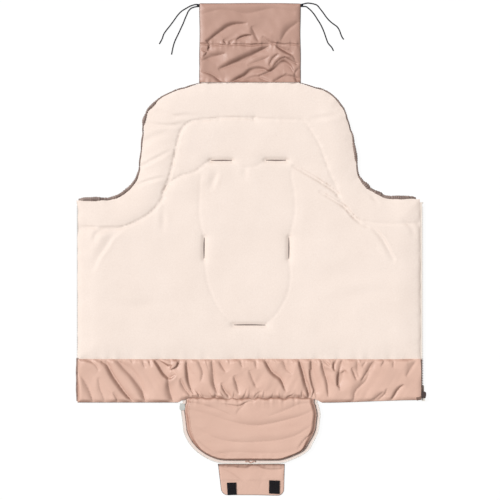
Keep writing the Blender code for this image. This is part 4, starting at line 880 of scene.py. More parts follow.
# Materials
class Finish:
    def __init__(self, name, colour, roughness, metallic=0.0, sheen=0.0, sheen_roughness=0.5, specular=0.5):
        self.material = bpy.data.materials.new(name)
        self.material.use_nodes = True
        self.material.diffuse_color = (*colour, 1)
        self.nodes = self.material.node_tree.nodes
        self.links = self.material.node_tree.links
        self.shader = self.nodes["Principled BSDF"]
        settings = {
            "Base Color": (*colour, 1), "Roughness": roughness, "Metallic": metallic, "Sheen Weight": sheen,
            "Sheen Roughness": sheen_roughness, "Specular IOR Level": specular}
        for key, value in settings.items():
            self.plug(self.shader.inputs[key], value)
        self.place = self.nodes.new("ShaderNodeTexCoord").outputs["Object"]

    def plug(self, socket, value):
        if hasattr(value, "is_output"):
            self.links.new(value, socket)
        else:
            socket.default_value = value

    def add(self, kind, **values):
        made = self.nodes.new(kind)
        for key, value in values.items():
            if key in made.inputs:
                self.plug(made.inputs[key], value)
            else:
                setattr(made, key, value)
        return made

    def cloud(self, scale, detail=3, stretch=None, rough=0.5):
        place = self.place
        if stretch is not None:
            place = self.add("ShaderNodeMapping", Vector=place, Scale=stretch).outputs["Vector"]
        return self.add("ShaderNodeTexNoise", Vector=place, Scale=scale, Detail=detail,
                        Roughness=rough).outputs["Fac"]

    def weave(self, across, along):
        # Two sets of threads, given as threads per metre
        waves = [self.add("ShaderNodeTexWave", Vector=self.place, Scale=count / (2 * math.pi),
                          Distortion=0.4, Detail=1.0, wave_type="BANDS", bands_direction=way).outputs["Fac"]
                 for count, way in ((across, "X"), (along, "Y"))]
        return self.maths("MULTIPLY", *waves)

    def maths(self, operation, a, b=0.5):
        made = self.add("ShaderNodeMath", operation=operation)
        for socket, value in zip(made.inputs, (a, b)):
            self.plug(socket, value)
        return made.outputs["Value"]

    def ranged(self, value, low, high, to_low=RAMP_LOW, to_high=RAMP_HIGH):
        limits = {"From Min": low, "From Max": high, "To Min": to_low, "To Max": to_high}
        return self.add("ShaderNodeMapRange", Value=value, **limits).outputs["Result"]

    def tint(self, factor, darker, lighter=WHITE):
        # Colour between two shares of the base colour, multiplied onto what is there
        ramp = self.add("ShaderNodeValToRGB", Fac=factor)
        ends = ((RAMP_LOW, darker), (RAMP_HIGH, lighter))
        for element, (position, colour) in zip(ramp.color_ramp.elements, ends):
            element.position = position
            element.color = (*colour, 1)
        mix = self.add("ShaderNodeMix", data_type="RGBA", blend_type="MULTIPLY")
        mix.inputs["Factor"].default_value = 1
        base = self.shader.inputs["Base Color"]
        self.plug(mix.inputs[MIX_A], base.links[0].from_socket if base.is_linked else base.default_value)
        self.links.new(ramp.outputs["Color"], mix.inputs[MIX_B])
        self.links.new(mix.outputs[MIX_RESULT], base)

    def paint_slope_shade(self, shade_colour, low=0.78, high=0.985):
        # Painted shade: the cloth's colour is darkened where its surface slopes away from flat, on fold faces
        # and in crease valleys
        normal = self.nodes.new("ShaderNodeTexCoord").outputs["Normal"]
        upright = self.add("ShaderNodeSeparateXYZ", Vector=normal).outputs["Z"]
        self.tint(self.ranged(self.maths("ABSOLUTE", upright), low, high), shade_colour)

    def paint_band_shade(self, share):
        # Painted shade: the front zip is darkened beside the satin band, for the shade of the band's edge
        if share:
            across = self.add("ShaderNodeSeparateXYZ", Vector=self.place).outputs["Y"]
            self.tint(self.ranged(across, -BAND_TOP_Y - BAND_SHADE_EDGE, -BAND_TOP_Y + BAND_SHADE_EDGE), share)

    def bump(self, height, strength, depth):
        made = self.add("ShaderNodeBump", Height=height, Strength=strength, Distance=depth)
        normal = self.shader.inputs["Normal"]
        if normal.is_linked:
            self.links.new(normal.links[0].from_socket, made.inputs["Normal"])
        self.links.new(made.outputs["Normal"], normal)

    def vary_roughness(self, factor, low, high):
        self.links.new(self.ranged(factor, 0, 1, low, high), self.shader.inputs["Roughness"])


def make_fleece():
    finish = Finish("fleece", (0.955, 0.825, 0.745), 0.96, sheen=0.1, sheen_roughness=0.6, specular=0.2)
    # Painted shade: the fleece darkens on sloped faces, in its crease and seam valleys
    finish.paint_slope_shade((0.8, 0.76, 0.73), 0.86, 0.992)
    finish.tint(finish.cloud(9, 2), (0.975, 0.97, 0.965))
    finish.tint(finish.cloud(260, 4, rough=0.65), (0.95, 0.94, 0.93))
    finish.bump(finish.cloud(320, 5, rough=0.7), 0.5, 0.8 * MM)
    finish.bump(finish.cloud(1500, 3, stretch=(1, 0.4, 1)), 0.35, 0.25 * MM)
    return finish.material


def make_satin(name, colour, roughness):
    finish = Finish(name, colour, roughness, sheen=0.1, sheen_roughness=0.35, specular=0.4)
    # Painted shade: the satin darkens on the sloped faces of its folds
    finish.paint_slope_shade((0.58, 0.5, 0.47))
    finish.tint(finish.cloud(14, 2), (0.965, 0.95, 0.945))
    weave = finish.weave(1900, 1900)
    finish.tint(weave, (0.93, 0.92, 0.91))
    finish.bump(weave, 0.25, 0.12 * MM)
    finish.bump(finish.cloud(90, 3, stretch=(1, 2.2, 1)), 0.22, 0.9 * MM)
    finish.vary_roughness(finish.cloud(45, 2), roughness - 0.05, roughness + 0.07)
    return finish.material


def make_tape(name, colour, band_shade=None):
    finish = Finish(name, colour, 0.8, sheen=0.1, specular=0.3)
    finish.paint_band_shade(band_shade)
    ribs = finish.weave(1400, 1000)
    finish.tint(ribs, (0.92, 0.91, 0.9))
    finish.bump(ribs, 0.5, 0.25 * MM)
    finish.tint(finish.cloud(60, 2), (0.94, 0.93, 0.92))
    return finish.material


def make_casing_finish(name, colour):
    finish = Finish(name, colour, 0.5, sheen=0.1, sheen_roughness=0.35, specular=0.4)
    finish.tint(finish.cloud(75, 3), (0.5, 0.46, 0.45))
    finish.bump(finish.cloud(260, 3), 0.4, 0.6 * MM)
    return finish.material


def make_moulded(name, colour, roughness, metallic=0.0, band_shade=None):
    finish = Finish(name, colour, roughness, metallic=metallic)
    finish.paint_band_shade(band_shade)
    finish.tint(finish.cloud(180, 3), (0.92, 0.92, 0.92))
    finish.bump(finish.cloud(900, 3), 0.15, 0.1 * MM)
    finish.vary_roughness(finish.cloud(120, 3), roughness - 0.06, roughness + 0.1)
    return finish.material


def make_hook_tape(name, colour):
    finish = Finish(name, colour, 0.85, specular=0.2)
    hooks = finish.add("ShaderNodeTexVoronoi", Vector=finish.place, Scale=700).outputs["Distance"]
    finish.tint(hooks, WHITE, (0.45, 0.45, 0.45))
    finish.bump(hooks, 0.9, 0.9 * MM)
    return finish.material


def make_cord_finish():
    finish = Finish("cord", (0.02, 0.021, 0.026), 0.85, specular=0.2)
    finish.tint(finish.cloud(1400, 2), (0.6, 0.6, 0.62))
    finish.bump(finish.cloud(2600, 2), 0.4, 0.15 * MM)
    return finish.material


FLEECE = make_fleece()
SATIN = make_satin("satin", (0.785, 0.522, 0.422), 0.42)
DARK_SATIN = make_satin("dark_satin", (0.565, 0.35, 0.282), 0.42)
SHADED_SATIN = make_satin("shaded_satin", (0.68, 0.43, 0.34), 0.45)
CASING_SATIN = make_casing_finish("casing_satin", (0.34, 0.25, 0.215))
# Painted shade: a dark satin colour for the turned band edge along the left zip, standing in for its shade
TURNED_SATIN_SHADE = make_casing_finish("turned_satin_shade", (0.42, 0.29, 0.245))
TACK_SATIN = make_casing_finish("tack_satin", (0.32, 0.2, 0.155))
BINDING = make_tape("binding", (0.27, 0.2, 0.18))
EDGE_TAPE = make_tape("edge_tape", (0.22, 0.175, 0.16))
TAPE = make_tape("tape", (0.93, 0.79, 0.72))
TEETH = make_moulded("teeth", (0.8, 0.75, 0.68), 0.38)
# Painted shade: the front zip's teeth and tape are darkened beside the satin band
FRONT_TEETH = make_moulded("front_teeth", (0.74, 0.69, 0.63), 0.38, band_shade=(0.2, 0.12, 0.1))
GREY_TEETH = make_moulded("grey_teeth", (0.43, 0.385, 0.345), 0.38, band_shade=(0.42, 0.33, 0.3))
FRONT_TAPE = make_tape("front_tape", (0.97, 0.87, 0.79), (0.72, 0.53, 0.46))
HOOKS = make_hook_tape("hook_tape", (0.016, 0.014, 0.017))
CORD = make_cord_finish()
SLIDER = make_moulded("slider", (0.13, 0.095, 0.09), 0.32, 0.6)
GREY_SLIDER = make_moulded("grey_slider", (0.6, 0.61, 0.58), 0.52, 0.1)


def paint(material, *names):
    for name in names:
        slots = nodes[name].data.materials
        slots.clear()
        slots.append(material)


def paint_frame_parts():
    # Parts that keep the solid's own shape
    paint(FRONT_TAPE, "zip_tape_left", "zip_tape_right")
    paint(FRONT_TEETH, "zip_chain_right")
    paint(GREY_TEETH, "zip_chain_left")
    paint(TEETH, "zip_pin", "zip_box", "front_pull")
    paint(SLIDER, "front_slider")
    paint(GREY_SLIDER, "foot_slider", "foot_pull", "foot_zip_stop")
    paint(HOOKS, "loop_patch_left", "loop_patch_right")


# Cords
def make_cords():
    for name, route in CORD_ROUTES.items():
        path = smooth_line([(x, y, CORD_Z) for x, y in route], CORD_RING_STEP)
        path = raised(path[:, :2], CORD_Z)

        def braid(along, angle):
            turn = 2 * math.pi * along / CORD_BRAID_PITCH
            strands = np.abs(np.sin(2 * angle + turn) * np.sin(2 * angle - turn))
            return CORD_DIAMETER / 2 - CORD_BRAID + CORD_BRAID * strands

        item = dress(swept_tube(name + "_braid", path, braid, CORD, CORD_SIDES), "cord", "flap", name)


# Heights of the body's surfaces. Noise has a size and a seed, and fades out over a distance from its line
EDGES = [body_line(), mirrored(body_line()),
         np.array([(-HALF_WIDTH, -FOOT_REACH), (HALF_WIDTH, -FOOT_REACH)])]
BAND_SEAM = np.array([(-HALF_WIDTH, -BAND_TOP_Y), (HALF_WIDTH, -BAND_TOP_Y)])
QUILT_SEAMS = [smooth_line(from_pixels(points), 8 * MM) for points in QUILT_SEAMS_PX]
LOWER_EDGE = np.vstack([mirrored(notch_line()), notch_line()])
LOWER_EDGE = np.vstack([[(-HALF_WIDTH, -FOOT_REACH)], LOWER_EDGE, [(HALF_WIDTH, -FOOT_REACH)]])
BAND_LEVELS = (-BAND_TOP_Y, -FOOT_REACH)


def spots_near(points, line, reach):
    low, high = line.min(axis=0) - reach, line.max(axis=0) + reach
    return np.where(((points > low) & (points < high)).all(axis=1))[0]


def creases(points, table):
    # Valleys along the given lines, each with a soft ridge beside it
    total = np.zeros(len(points))
    for line_px, height, near, far in table:
        line = smooth_line(from_pixels(line_px), CREASE_STEP)
        spots = spots_near(points, line, max(near, far) * CREASE_REACH * MM)
        if not len(spots):
            continue
        distance, along, side, length = line_field(points[spots], line)
        width = np.where(side > 0, near, far) * MM
        share = along / length * (1 - 2 * CREASE_END) + CREASE_END
        taper = np.sin(math.pi * np.clip(share, 0, 1)) ** CREASE_TAPER
        ridge = hill(distance - RIDGE_AT * width, RIDGE_WIDTH * width)
        total[spots] += height * MM * taper * (hill(distance, width) - RIDGE_HEIGHT * ridge)
    return total


def slot_loop(name, grow=0.0):
    x, y, half, upright = SLOTS[name]
    long, thin = half * MM + grow, SLOT_LIP + grow
    turn = np.linspace(0, 2 * math.pi, SLOT_POINTS + 1)[:-1]
    a = long * np.cos(turn)
    b = thin * np.sign(np.sin(turn)) * np.abs(np.sin(turn)) ** 0.8
    loop = np.stack([b, a], axis=1)[::-1] if upright else np.stack([a, b], axis=1)
    return loop + np.array([x, y]) * MM


def lining_top(points):
    x, y = points[:, 0], points[:, 1]
    edge = nearest(points, EDGES + [BAND_SEAM])
    height = EDGE_TOP_Z + CROWN * (1 - (1 - np.clip(edge / CROWN_ROLL, 0, 1)) ** 2.2)
    side = np.abs(x) - HALF_WIDTH
    height -= 1.3 * MM * fade(-np.minimum(side, 0), 3 * MM) * (y < SHOULDER_Y)
    for k, (seam, depth) in enumerate(zip(QUILT_SEAMS, QUILT_DEPTHS)):
        distance, along, _, _ = line_field(points, seam)
        pucker = noise(along, distance * 0.3, 9 * MM, 40 + k)
        valley = 2.6 * hill(distance, 3 * MM) + 1.3 * hill(distance, 15 * MM)
        height += (0.8 * pucker * fade(np.abs(distance - 5 * MM), 7 * MM) - valley) * depth * MM
    for name in SLOTS:
        distance = loop_distance(points, slot_loop(name))
        height -= 2.2 * MM * hill(distance, 5 * MM) + 1.2 * MM * hill(distance, 15 * MM)
    height += creases(points, LINING_CREASES_PX)
    calm = roll(edge, 45 * MM)
    height += layered_noise(x, y, 95 * MM, 5) * 0.9 * MM * calm
    height += noise(x * 0.7 + y * 0.3, y, 30 * MM, 8) * 0.35 * MM * calm
    puckered = ((BAND_SEAM, 0.9, 14, 61, 16), (EDGES[0], 0.7, 16, 71, 14), (EDGES[1], 0.7, 16, 72, 14))
    for line, rise, size, seed, reach in puckered:
        distance, along, _, _ = line_field(points, line)
        height += rise * MM * noise(along, distance * 0.2, size * MM, seed) * fade(distance, reach * MM)
    return np.maximum(height, SEAM_Z + GAP)


def reaching(line, levels):
    # The line, carried on past each seam that one of its ends meets
    for _ in range(2):
        if any(abs(line[0][1] - level) < SEAM_CATCH for level in levels):
            way = line[0] - line[1]
            line = np.vstack([line[0] + way / math.hypot(*way) * SEAM_PAST, line])
        line = line[::-1]
    return line


def fold_line(line_px, levels):
    # Turned so that the fold's face is on the right of travel
    line = reaching(smooth_line(from_pixels(line_px), FOLD_STEP), levels)
    way = line[-1] - line[0]
    return line if way[0] * FOLD_FALL[1] - way[1] * FOLD_FALL[0] > 0 else line[::-1]


def fold_lines(table, levels=()):
    return [fold_line(line_px, levels) for line_px, _, _, _ in table]


def folds(points, table, scale, levels, broad=1.6):
    # A sloped face on the far side that falls into each line, and a long easy rise on its near side
    total = np.zeros(len(points))
    for line_px, height, near, far in table:
        line = fold_line(line_px, levels)
        spots = spots_near(points, line, (far * FACE_REACH + near * RISE_REACH) * broad * MM)
        if not len(spots):
            continue
        distance, along, side, length = line_field(points[spots], line)
        swell = np.sin(math.pi * np.clip(along / length, 0, 1))
        spread = broad * MM * (END_WIDTH + (1 - END_WIDTH) * swell)
        on_face, on_rise = distance / (far * spread), distance / (near * spread)
        climb = 1 - (1 - np.clip(on_face, 0, 1)) ** FACE_CURVE
        face = np.where(on_face < 1, FACE_RISE * climb + FACE_FOOT, FACE_TOP * hill(on_face - 1, FACE_EASE))
        rise = -DIP * hill(on_rise, DIP_WIDTH) - RISE * fade(on_rise, RISE_WIDTH)
        total[spots] -= height * scale * MM * swell ** FOLD_TAPER * np.where(side > 0, rise, face)
    return total


def band_top(points):
    x, y = points[:, 0], points[:, 1]
    edge = nearest(points, [EDGES[0][:2], EDGES[1][-2:], LOWER_EDGE, BAND_SEAM])
    top_distance = np.abs(y + BAND_TOP_Y)
    low_distance = line_field(points, LOWER_EDGE)[0]
    slant = x + y * np.where(x < 0, 0.7, -0.5)
    height = EDGE_TOP_Z + BAND_FILL
    height = height + folds(points, BAND_FOLDS_PX, 2.5, BAND_LEVELS, 1.9)
    height = height + folds(points, BAND_GATHERS_PX, 1.6, BAND_LEVELS, 1.2)
    height += 0.9 * MM * layered_noise(slant, y * 0.3, 19 * MM, 21, 2)
    height += 1.5 * MM * noise(x, y * 0.2, 5.5 * MM, 31) * fade(top_distance, 8 * MM)
    near_panel = soft_step((NOTCH_HALF_WIDTH - np.abs(x)) / (20 * MM))
    gather = noise(x, y * 0.2, 6 * MM, 32)
    height += (2.4 * MM * near_panel + 0.5 * MM) * gather * fade(low_distance, 9 * MM)
    hem = SEAM_Z + (2.4 + 2.0 * past(x, 0.405, 0.01)) * MM
    height = hem + (height - hem) * (1 - (1 - np.clip(edge / (10 * MM), 0, 1)) ** 1.6)
    return eased_below(eased_above(height, PAD_LEAST_Z, 0.5 * MM), PAD_LIMIT_Z, PAD_LIMIT_EASE)


def seam_rise(distance):
    # How far a shell's outer face lifts off the ground towards a seam
    return EDGE_LIFT * (1 - roll(distance, EDGE_ROLL))


def shell_bottom(points):
    x, y = points[:, 0], points[:, 1]
    edge = nearest(points, EDGES)
    seams = nearest(points, QUILT_SEAMS + [BAND_SEAM])
    quilt = 2.2 * MM * hill(seams, 6 * MM)
    wrinkle = 1.15 * MM * (1 + layered_noise(x + 0.3 * y, y, 34 * MM, 91)) * roll(edge, 12 * MM)
    height = seam_rise(edge) + quilt + wrinkle
    for side, _ in SIDES:
        middle = np.array([side * (LOOP_LOW.x + LOOP_HIGH.x) / 2, (LOOP_LOW.y + LOOP_HIGH.y) / 2])
        half = np.array([(LOOP_HIGH.x - LOOP_LOW.x) / 2, (LOOP_HIGH.y - LOOP_LOW.y) / 2])
        beyond = (np.abs(points - middle) - half).max(axis=1)
        near = 1 - past(beyond, 1 * MM, 8 * MM)
        height = height * (1 - near) + LOOP_PATCH_REST * near
    return height


def under_tape(bottom):
    # The inner face of an outer shell, which stays below the zip tapes
    return lambda points: np.minimum(bottom(points) + SHELL, TAPE_Z - GAP)


# The padded body: each layer is one centre panel and two wings, parted near the fold
def three_panels(prefix, loop, step, top, bottom, material, slot, replaced, holes=(), seams=()):
    # replaced holds the solids' names without the panel's own
    parts = []
    for side, name in ((0, "centre"), *SIDES):
        item = cloth_panel(f"{prefix}_{name}", panel_loop(loop, name), step, top, bottom, material,
                           () if side else holes, seams, SPLIT_X)
        carrier = wing_fold(side, name) if side else "root"
        dress(item, slot, carrier, *[base + "_" + name for base in replaced])
        parts.append(item)
    return parts


def make_body():
    loop = body_loop()
    upper = clipped_loop(loop, 1, -BAND_TOP_Y, True)
    lower = clipped_loop(loop, 1, -BAND_TOP_Y, False)
    holes = [slot_loop(name, SLOT_CLEARANCE) for name in SLOTS]
    seam = flat_at(SEAM_Z)
    padded = three_panels("lining_fleece", upper, LINING_STEP, lining_top, seam, FLEECE, "fleece",
                          ("lining", "wadding"), holes, QUILT_SEAMS)
    padded += three_panels("foot_band_satin", lower, SATIN_STEP, band_top, seam, SATIN, "satin",
                           ("foot_band",), (), fold_lines(BAND_FOLDS_PX, BAND_LEVELS))
    shells = three_panels("outer_shell", loop, SHELL_STEP, under_tape(shell_bottom), shell_bottom, SATIN,
                          "satin", ("shell",), holes)


def make_slots():
    for name, (x, y, _, upright) in SLOTS.items():
        loop = slot_loop(name)
        thin, middle = (0, x * MM) if upright else (1, y * MM)

        def lips(points):
            crease = hill(points[:, thin] - middle, 0.55 * MM)
            edge = loop_distance(points, loop)
            return SEAM_Z + 1.6 * MM + 1.1 * MM * roll(edge, 1.2 * MM) - 1.6 * MM * crease

        item = cloth_panel(name + "_lips", loop, LIP_STEP, lips, flat_at(SLOT_FLOOR_Z), BINDING)
        dress(item, "binding", "root", name)


# Gathered hood edge with its elastic
def make_casings():
    middle = resampled(body_line()[1:], 1.0 * MM)
    for side, name in SIDES:
        low_y, high_y = CASING_FULL_Y[name]
        shoulder = bump(middle[:, 0], 0.262, 0.02, CASING_CUT_X[name] - 0.016, 0.016)
        beside_head = bump(middle[:, 1], low_y, 0.02, high_y, 0.02)
        edge = offset(middle, ((1.5 * beside_head - shoulder - 2.2) * MM)[:, None])
        breadth = np.maximum(shoulder, 0.6 * beside_head)
        wing_solids = ("hood_casing_", "hood_elastic_")
        parts = (("head", FLAP_HALF_WIDTH + 1.5 * MM, SPLIT_X, "root", ("hood_casing_head_",)),
                 ("wing", SPLIT_X, CASING_CUT_X[name], wing_fold(side, name), wing_solids))
        for part, low_x, high_x, carrier, replaced in parts:
            kept = (edge[:, 0] >= low_x) & (edge[:, 0] <= high_x)
            run, broad = edge[kept], breadth[kept]
            spots = run[:, 0] * 0.7 + run[:, 1]
            lift = CHAIN_Z + 0.8 * MM * noise(spots, spots * 0, 12 * MM, 55) + 1.6 * MM * beside_head[kept]
            shares = np.linspace(0, 1, len(run))
            start_x = run[0, 0]
            full = 0.5 + 0.5 * soft_step((run[:, 0] - FLAP_HALF_WIDTH - 10 * MM) / (25 * MM))

            def ruffle(along, angle):
                # Radius in millimetres, with a pleat at every pitch and slower lumps
                place = np.interp(along / along.max(), shares, broad)
                thin = np.interp(along / along.max(), shares, full)
                ring = along * side + start_x
                wander = 3 * noise(ring, angle * 0, 9 * MM, 57)
                pleat = np.sin(2 * math.pi * along / PLEAT_PITCH + wander)
                lump = noise(ring, angle * 0, 17 * MM, 58)
                size = 1.8 + 3.1 * place + (0.4 + 0.45 * place) * pleat + (0.35 + 0.9 * place) * lump
                return thin * (size + 0.35 * np.cos(angle * 2 + along / (7 * MM))) * MM

            path = raised(warp(run * [side, 1]), lift)
            item = swept_tube(f"hood_edge_{part}_{name}", path, ruffle, CASING_SATIN, 16, 0.72)
            dress(item, "dark_satin", carrier, *[base + name for base in replaced])


# Lower hem with its half of the foot zip
def make_hems():
    level = -FOOT_REACH - HEM_COIL_OUT
    for side, name in SIDES:
        for part, low_x, high_x, carrier, replaced in (
                ("centre", NOTCH_START_X + NOTCH_RUN, SPLIT_X, "root", "hem_zip_tape_centre_"),
                ("wing", SPLIT_X, HALF_WIDTH, wing_fold(side, name), "hem_zip_tape_")):
            line = resampled(np.array([(side * low_x, level), (side * high_x, level)]), COIL_STEP)
            path = raised(warp(line), CHAIN_Z)
            coil = swept_tube(f"hem_coil_{part}_{name}", path, coiled(0.75, 0.18), BINDING)
            dress(coil, "tape", carrier, replaced + name)


def make_band_edge():
    # A turned edge of the band, coloured dark as painted shade along the left zip
    path = raised(smooth_line(from_pixels(BAND_EDGE_PX), 1.5 * MM), SEAM_Z + 1.7 * MM)
    edge = swept_tube("band_edge_left", path, rippled(2.9, 0.35, 7), TURNED_SATIN_SHADE, 10, 0.5)
    dress(edge, "dark_satin", "left_wing")


def make_hem_end():
    path = raised(smooth_line(from_pixels(HEM_END_PX), 0.8 * MM), SEAM_Z + 4.4 * MM)
    tack = swept_tube("hem_end_fold", path, rippled(4.7, 0.4, 3, 2), TACK_SATIN, 14, 0.58)
    dress(tack, "dark_satin", "right_wing")


# Foot panel
def foot_loop():
    centre = (FOOT_HALF_WIDTH - FOOT_CORNER, -FOOT_TOP_Y - FOOT_CORNER)
    side = foot_line()
    return both_sides(np.vstack([arc(centre, FOOT_CORNER, 90, 0, 8), side[side[:, 1] < centre[1]]]))


def side_wall_width(y):
    # The puffed side of the panel, broad beside the hinge and narrow below
    return 3.5 * MM + 6.5 * MM * (1 - past(-y, 0.455, 0.055))


def foot_top(points):
    x, y = points[:, 0], points[:, 1]
    distance = line_field(points, foot_outline())[0]
    from_top = -FOOT_TOP_Y - y
    wall = soft_step(distance / side_wall_width(y) * 0.94 + 0.06)
    height = SEAM_Z + FOOT_FILL
    height = height + folds(points, FOOT_FOLDS_PX, 1.2, (-FOOT_TOP_Y,), 1.25)
    height += 0.8 * MM * layered_noise(x * 0.35, y, 20 * MM, 141, 2)
    height += 1.5 * MM * noise(x, y * 0.2, 7 * MM, 142) * fade(from_top, 10 * MM)
    height += 0.7 * MM * noise(x * 0.8, y * 1.1, 8 * MM, 143) * fade(distance, 9 * MM)
    height = SEAM_Z + 1.0 * MM + (height - SEAM_Z - 1.0 * MM) * wall * roll(from_top + 0.4 * MM, 11 * MM)
    return eased_below(eased_above(height, PAD_LEAST_Z, 0.4 * MM), PAD_LIMIT_Z, PAD_LIMIT_EASE)


def foot_bottom(points):
    edge = loop_distance(points, foot_loop())
    x, y = points[:, 0], points[:, 1]
    wrinkle = 1.5 * MM * (1 + layered_noise(x * 0.45 + y * 0.2, y, 27 * MM, 151)) * roll(edge, 16 * MM)
    gather = 1.1 * MM * (1 + noise(x, y * 0.3, 11 * MM, 152)) * fade(-FOOT_TOP_Y - y, 26 * MM)
    return seam_rise(edge) + wrinkle + gather * roll(edge, 5 * MM)


def make_foot_panel():
    before, past = FOOT_HINGE
    hinge = "root", "foot_panel", (0, -FOOT_TOP_Y + before, 0), (0, -FOOT_TOP_Y - past, 0)
    lining = cloth_panel("foot_panel_satin", foot_loop(), SATIN_STEP, foot_top, flat_at(SEAM_Z), SATIN, (),
                         fold_lines(FOOT_FOLDS_PX))
    dress(lining, "satin", hinge, "foot_panel_lining", "foot_panel_wadding")
    shell = cloth_panel("foot_panel_back", foot_loop(), FOOT_SHELL_STEP, under_tape(foot_bottom),
                        foot_bottom, SATIN)
    dress(shell, "satin", hinge, "foot_panel_shell")
    foot_loop()

    side_line = resampled(foot_outline(), 3 * MM)
    inner_line = offset(side_line, -side_wall_width(side_line[:, 1])[:, None])
    # Painted shade: the puffed side band takes a darker copy of the satin
    band = cloth_panel("foot_panel_side_band", np.vstack([side_line, inner_line[::-1]]), SIDE_BAND_STEP,
                       lambda p: foot_top(p) + 0.35 * MM, lambda p: foot_top(p) - 0.8 * MM, SHADED_SATIN)
    dress(band, "dark_satin", hinge)

    rim = raised(warp(resampled(foot_outline(-PIPING_OUT), PIPING_STEP)), SEAM_Z + 1.3 * MM)
    piping = swept_tube("foot_panel_piped_edge", rim, piped, CASING_SATIN, 12)
    dress(piping, "dark_satin", "foot_panel", "foot_panel_piping")

    strip = np.vstack([foot_outline(-FOOT_TAPE_OUT), foot_outline(FOOT_TAPE_IN)[::-1]])
    tape = cloth_panel("foot_zip_tape_woven", strip, FOOT_TAPE_STEP, flat_at(TAPE_TOP_Z), flat_at(TAPE_Z),
                       TAPE)
    dress(tape, "tape", "foot_panel", "foot_zip_tape")

    run = raised(warp(resampled(foot_outline(-FOOT_TAPE_OUT - COIL_OUT), COIL_STEP)), CHAIN_Z)
    coil = swept_tube("foot_zip_coil_turns", run, coiled(1.0, 0.2), TEETH)
    dress(coil, "teeth", "foot_panel", "foot_zip_coil")

    knot = smooth_line(from_pixels(TACK_PX), 0.7 * MM)
    waves = np.sin(3 * math.pi * np.linspace(0, 1, len(knot)))
    knot = raised(knot, TAPE_TOP_Z + 1.1 * MM + 0.9 * MM * waves)
    dress(swept_tube("foot_zip_tack", knot, rippled(1.4, 0.3, 1.1), SATIN, 10, 0.7), "satin", "foot_panel")


def piped(along, angle):
    wander = 2 * noise(along, angle * 0, 8 * MM, 161)
    return (1.0 + 0.12 * np.sin(along / (1.3 * MM) + wander)) * MM


# Tab
def tab_loop():
    low = -TAB_TOP_Y - TAB_LENGTH
    narrow = TAB_HALF_WIDTH - TAB_TAPER
    corner = arc((narrow - TAB_CORNER, low + TAB_CORNER), TAB_CORNER, -90, 0, 10)
    half = np.vstack([corner, [(TAB_HALF_WIDTH, -TAB_TOP_Y)]])
    return np.vstack([half, mirrored(half)])


def tab_base(points):
    return seam_rise(-TAB_TOP_Y - points[:, 1])


def tab_under(points):
    distance = loop_distance(points, tab_loop())
    x, y = points[:, 0], points[:, 1]
    puff = TAB_FILL + folds(points, TAB_FOLDS_PX, 1.9, (-TAB_TOP_Y,), 1.4)
    puff += 0.5 * MM * layered_noise(x, y, 20 * MM, 171, 2)
    puff += 1.1 * MM * noise(x, y * 0.2, 6 * MM, 172) * fade(-TAB_TOP_Y - y, 8 * MM)
    puff = eased_above(puff * roll(distance, 6 * MM), 0.15 * MM, 0.3 * MM)
    near_hooks = soft_step((y - HOOK_TOP_Y - 1 * MM) / (6 * MM))
    puff = puff * near_hooks + (1 - near_hooks) * eased_below(puff, 0.7 * MM, 0.2 * MM)
    return tab_base(points) + SHELL + GAP + puff


def two_cloths(front_name, back_name, loop, under, base, material, seams):
    # A thin front cloth over a shell cloth
    return (cloth_panel(front_name, loop, SATIN_STEP, lambda p: under(p) + CLOTH, under, material, (),
                        seams),
            cloth_panel(back_name, loop, BACK_STEP, lambda p: base(p) + SHELL, base, material))


def make_tab():
    before, past = TAB_HINGE
    hinge = "foot_panel", "tab", (0, -TAB_TOP_Y + before, 0), (0, -TAB_TOP_Y - past, 0)
    loop = tab_loop()
    inner, outer = two_cloths("tab_satin", "tab_back", loop, tab_under, tab_base, SATIN,
                              fold_lines(TAB_FOLDS_PX))
    dress(inner, "satin", hinge, "tab_inner")
    dress(outer, "satin", hinge, "tab_outer")
    rim = resampled(np.roll(loop, len(loop) // 2, axis=0), BINDING_STEP)
    path = raised(warp(offset(rim, -TAB_BINDING_IN)), tab_base(rim) + SHELL + 0.8 * MM)
    dress(swept_tube("tab_edge_binding", path, TAB_BINDING, EDGE_TAPE, 8), "binding", hinge)
    for name, spot in HOOK_SPOTS_PX.items():
        make_patch(name + "_hooks", name, *spot)


def make_patch(name, node, px, py, wide, long, turn):
    low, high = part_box(node)
    half = np.array([wide, long]) * PIXEL / 2
    x, y = half - HOOK_CORNER
    loop = np.vstack([arc((sign_x * x, sign_y * y), HOOK_CORNER, start, start + 90, 4)
                      for sign_x, sign_y, start in ((1, 1, 0), (-1, 1, 90), (-1, -1, 180), (1, -1, 270))])
    angle = math.radians(turn)
    spin = np.array([(math.cos(angle), math.sin(angle)), (-math.sin(angle), math.cos(angle))])
    loop = loop @ spin + from_pixels([(px, py)])[0]

    def top(points):
        edge = loop_distance(points, loop)
        stitched = hill(edge - 2.2 * MM, 0.8 * MM)
        tuft = noise(points[:, 0], points[:, 1], 1.4 * MM, 181) * roll(edge - 3 * MM, 1 * MM)
        return high.z + 0.25 * MM * tuft - 0.45 * MM * stitched

    item = cloth_panel(name, loop, HOOK_STEP, top, flat_at(low.z - HOOK_SUNK), HOOKS)
    dress(item, "hook_tape", "tab", node)


# Top flap
def flap_loop():
    half = np.array([(FLAP_HALF_WIDTH, FLAP_START_Y), (FLAP_HALF_WIDTH, FLAP_START_Y + FLAP_LENGTH)])
    return np.vstack([half, mirrored(half)])


def flap_base(points):
    return seam_rise(points[:, 1] - FLAP_START_Y)


def flap_back(points):
    x, y = points[:, 0], points[:, 1]
    edge = loop_distance(points, flap_loop())
    wrinkle = 0.8 * MM * (1 + layered_noise(x * 0.5 - y * 0.3, y, 24 * MM, 196)) * roll(edge, 14 * MM)
    return flap_base(points) + wrinkle


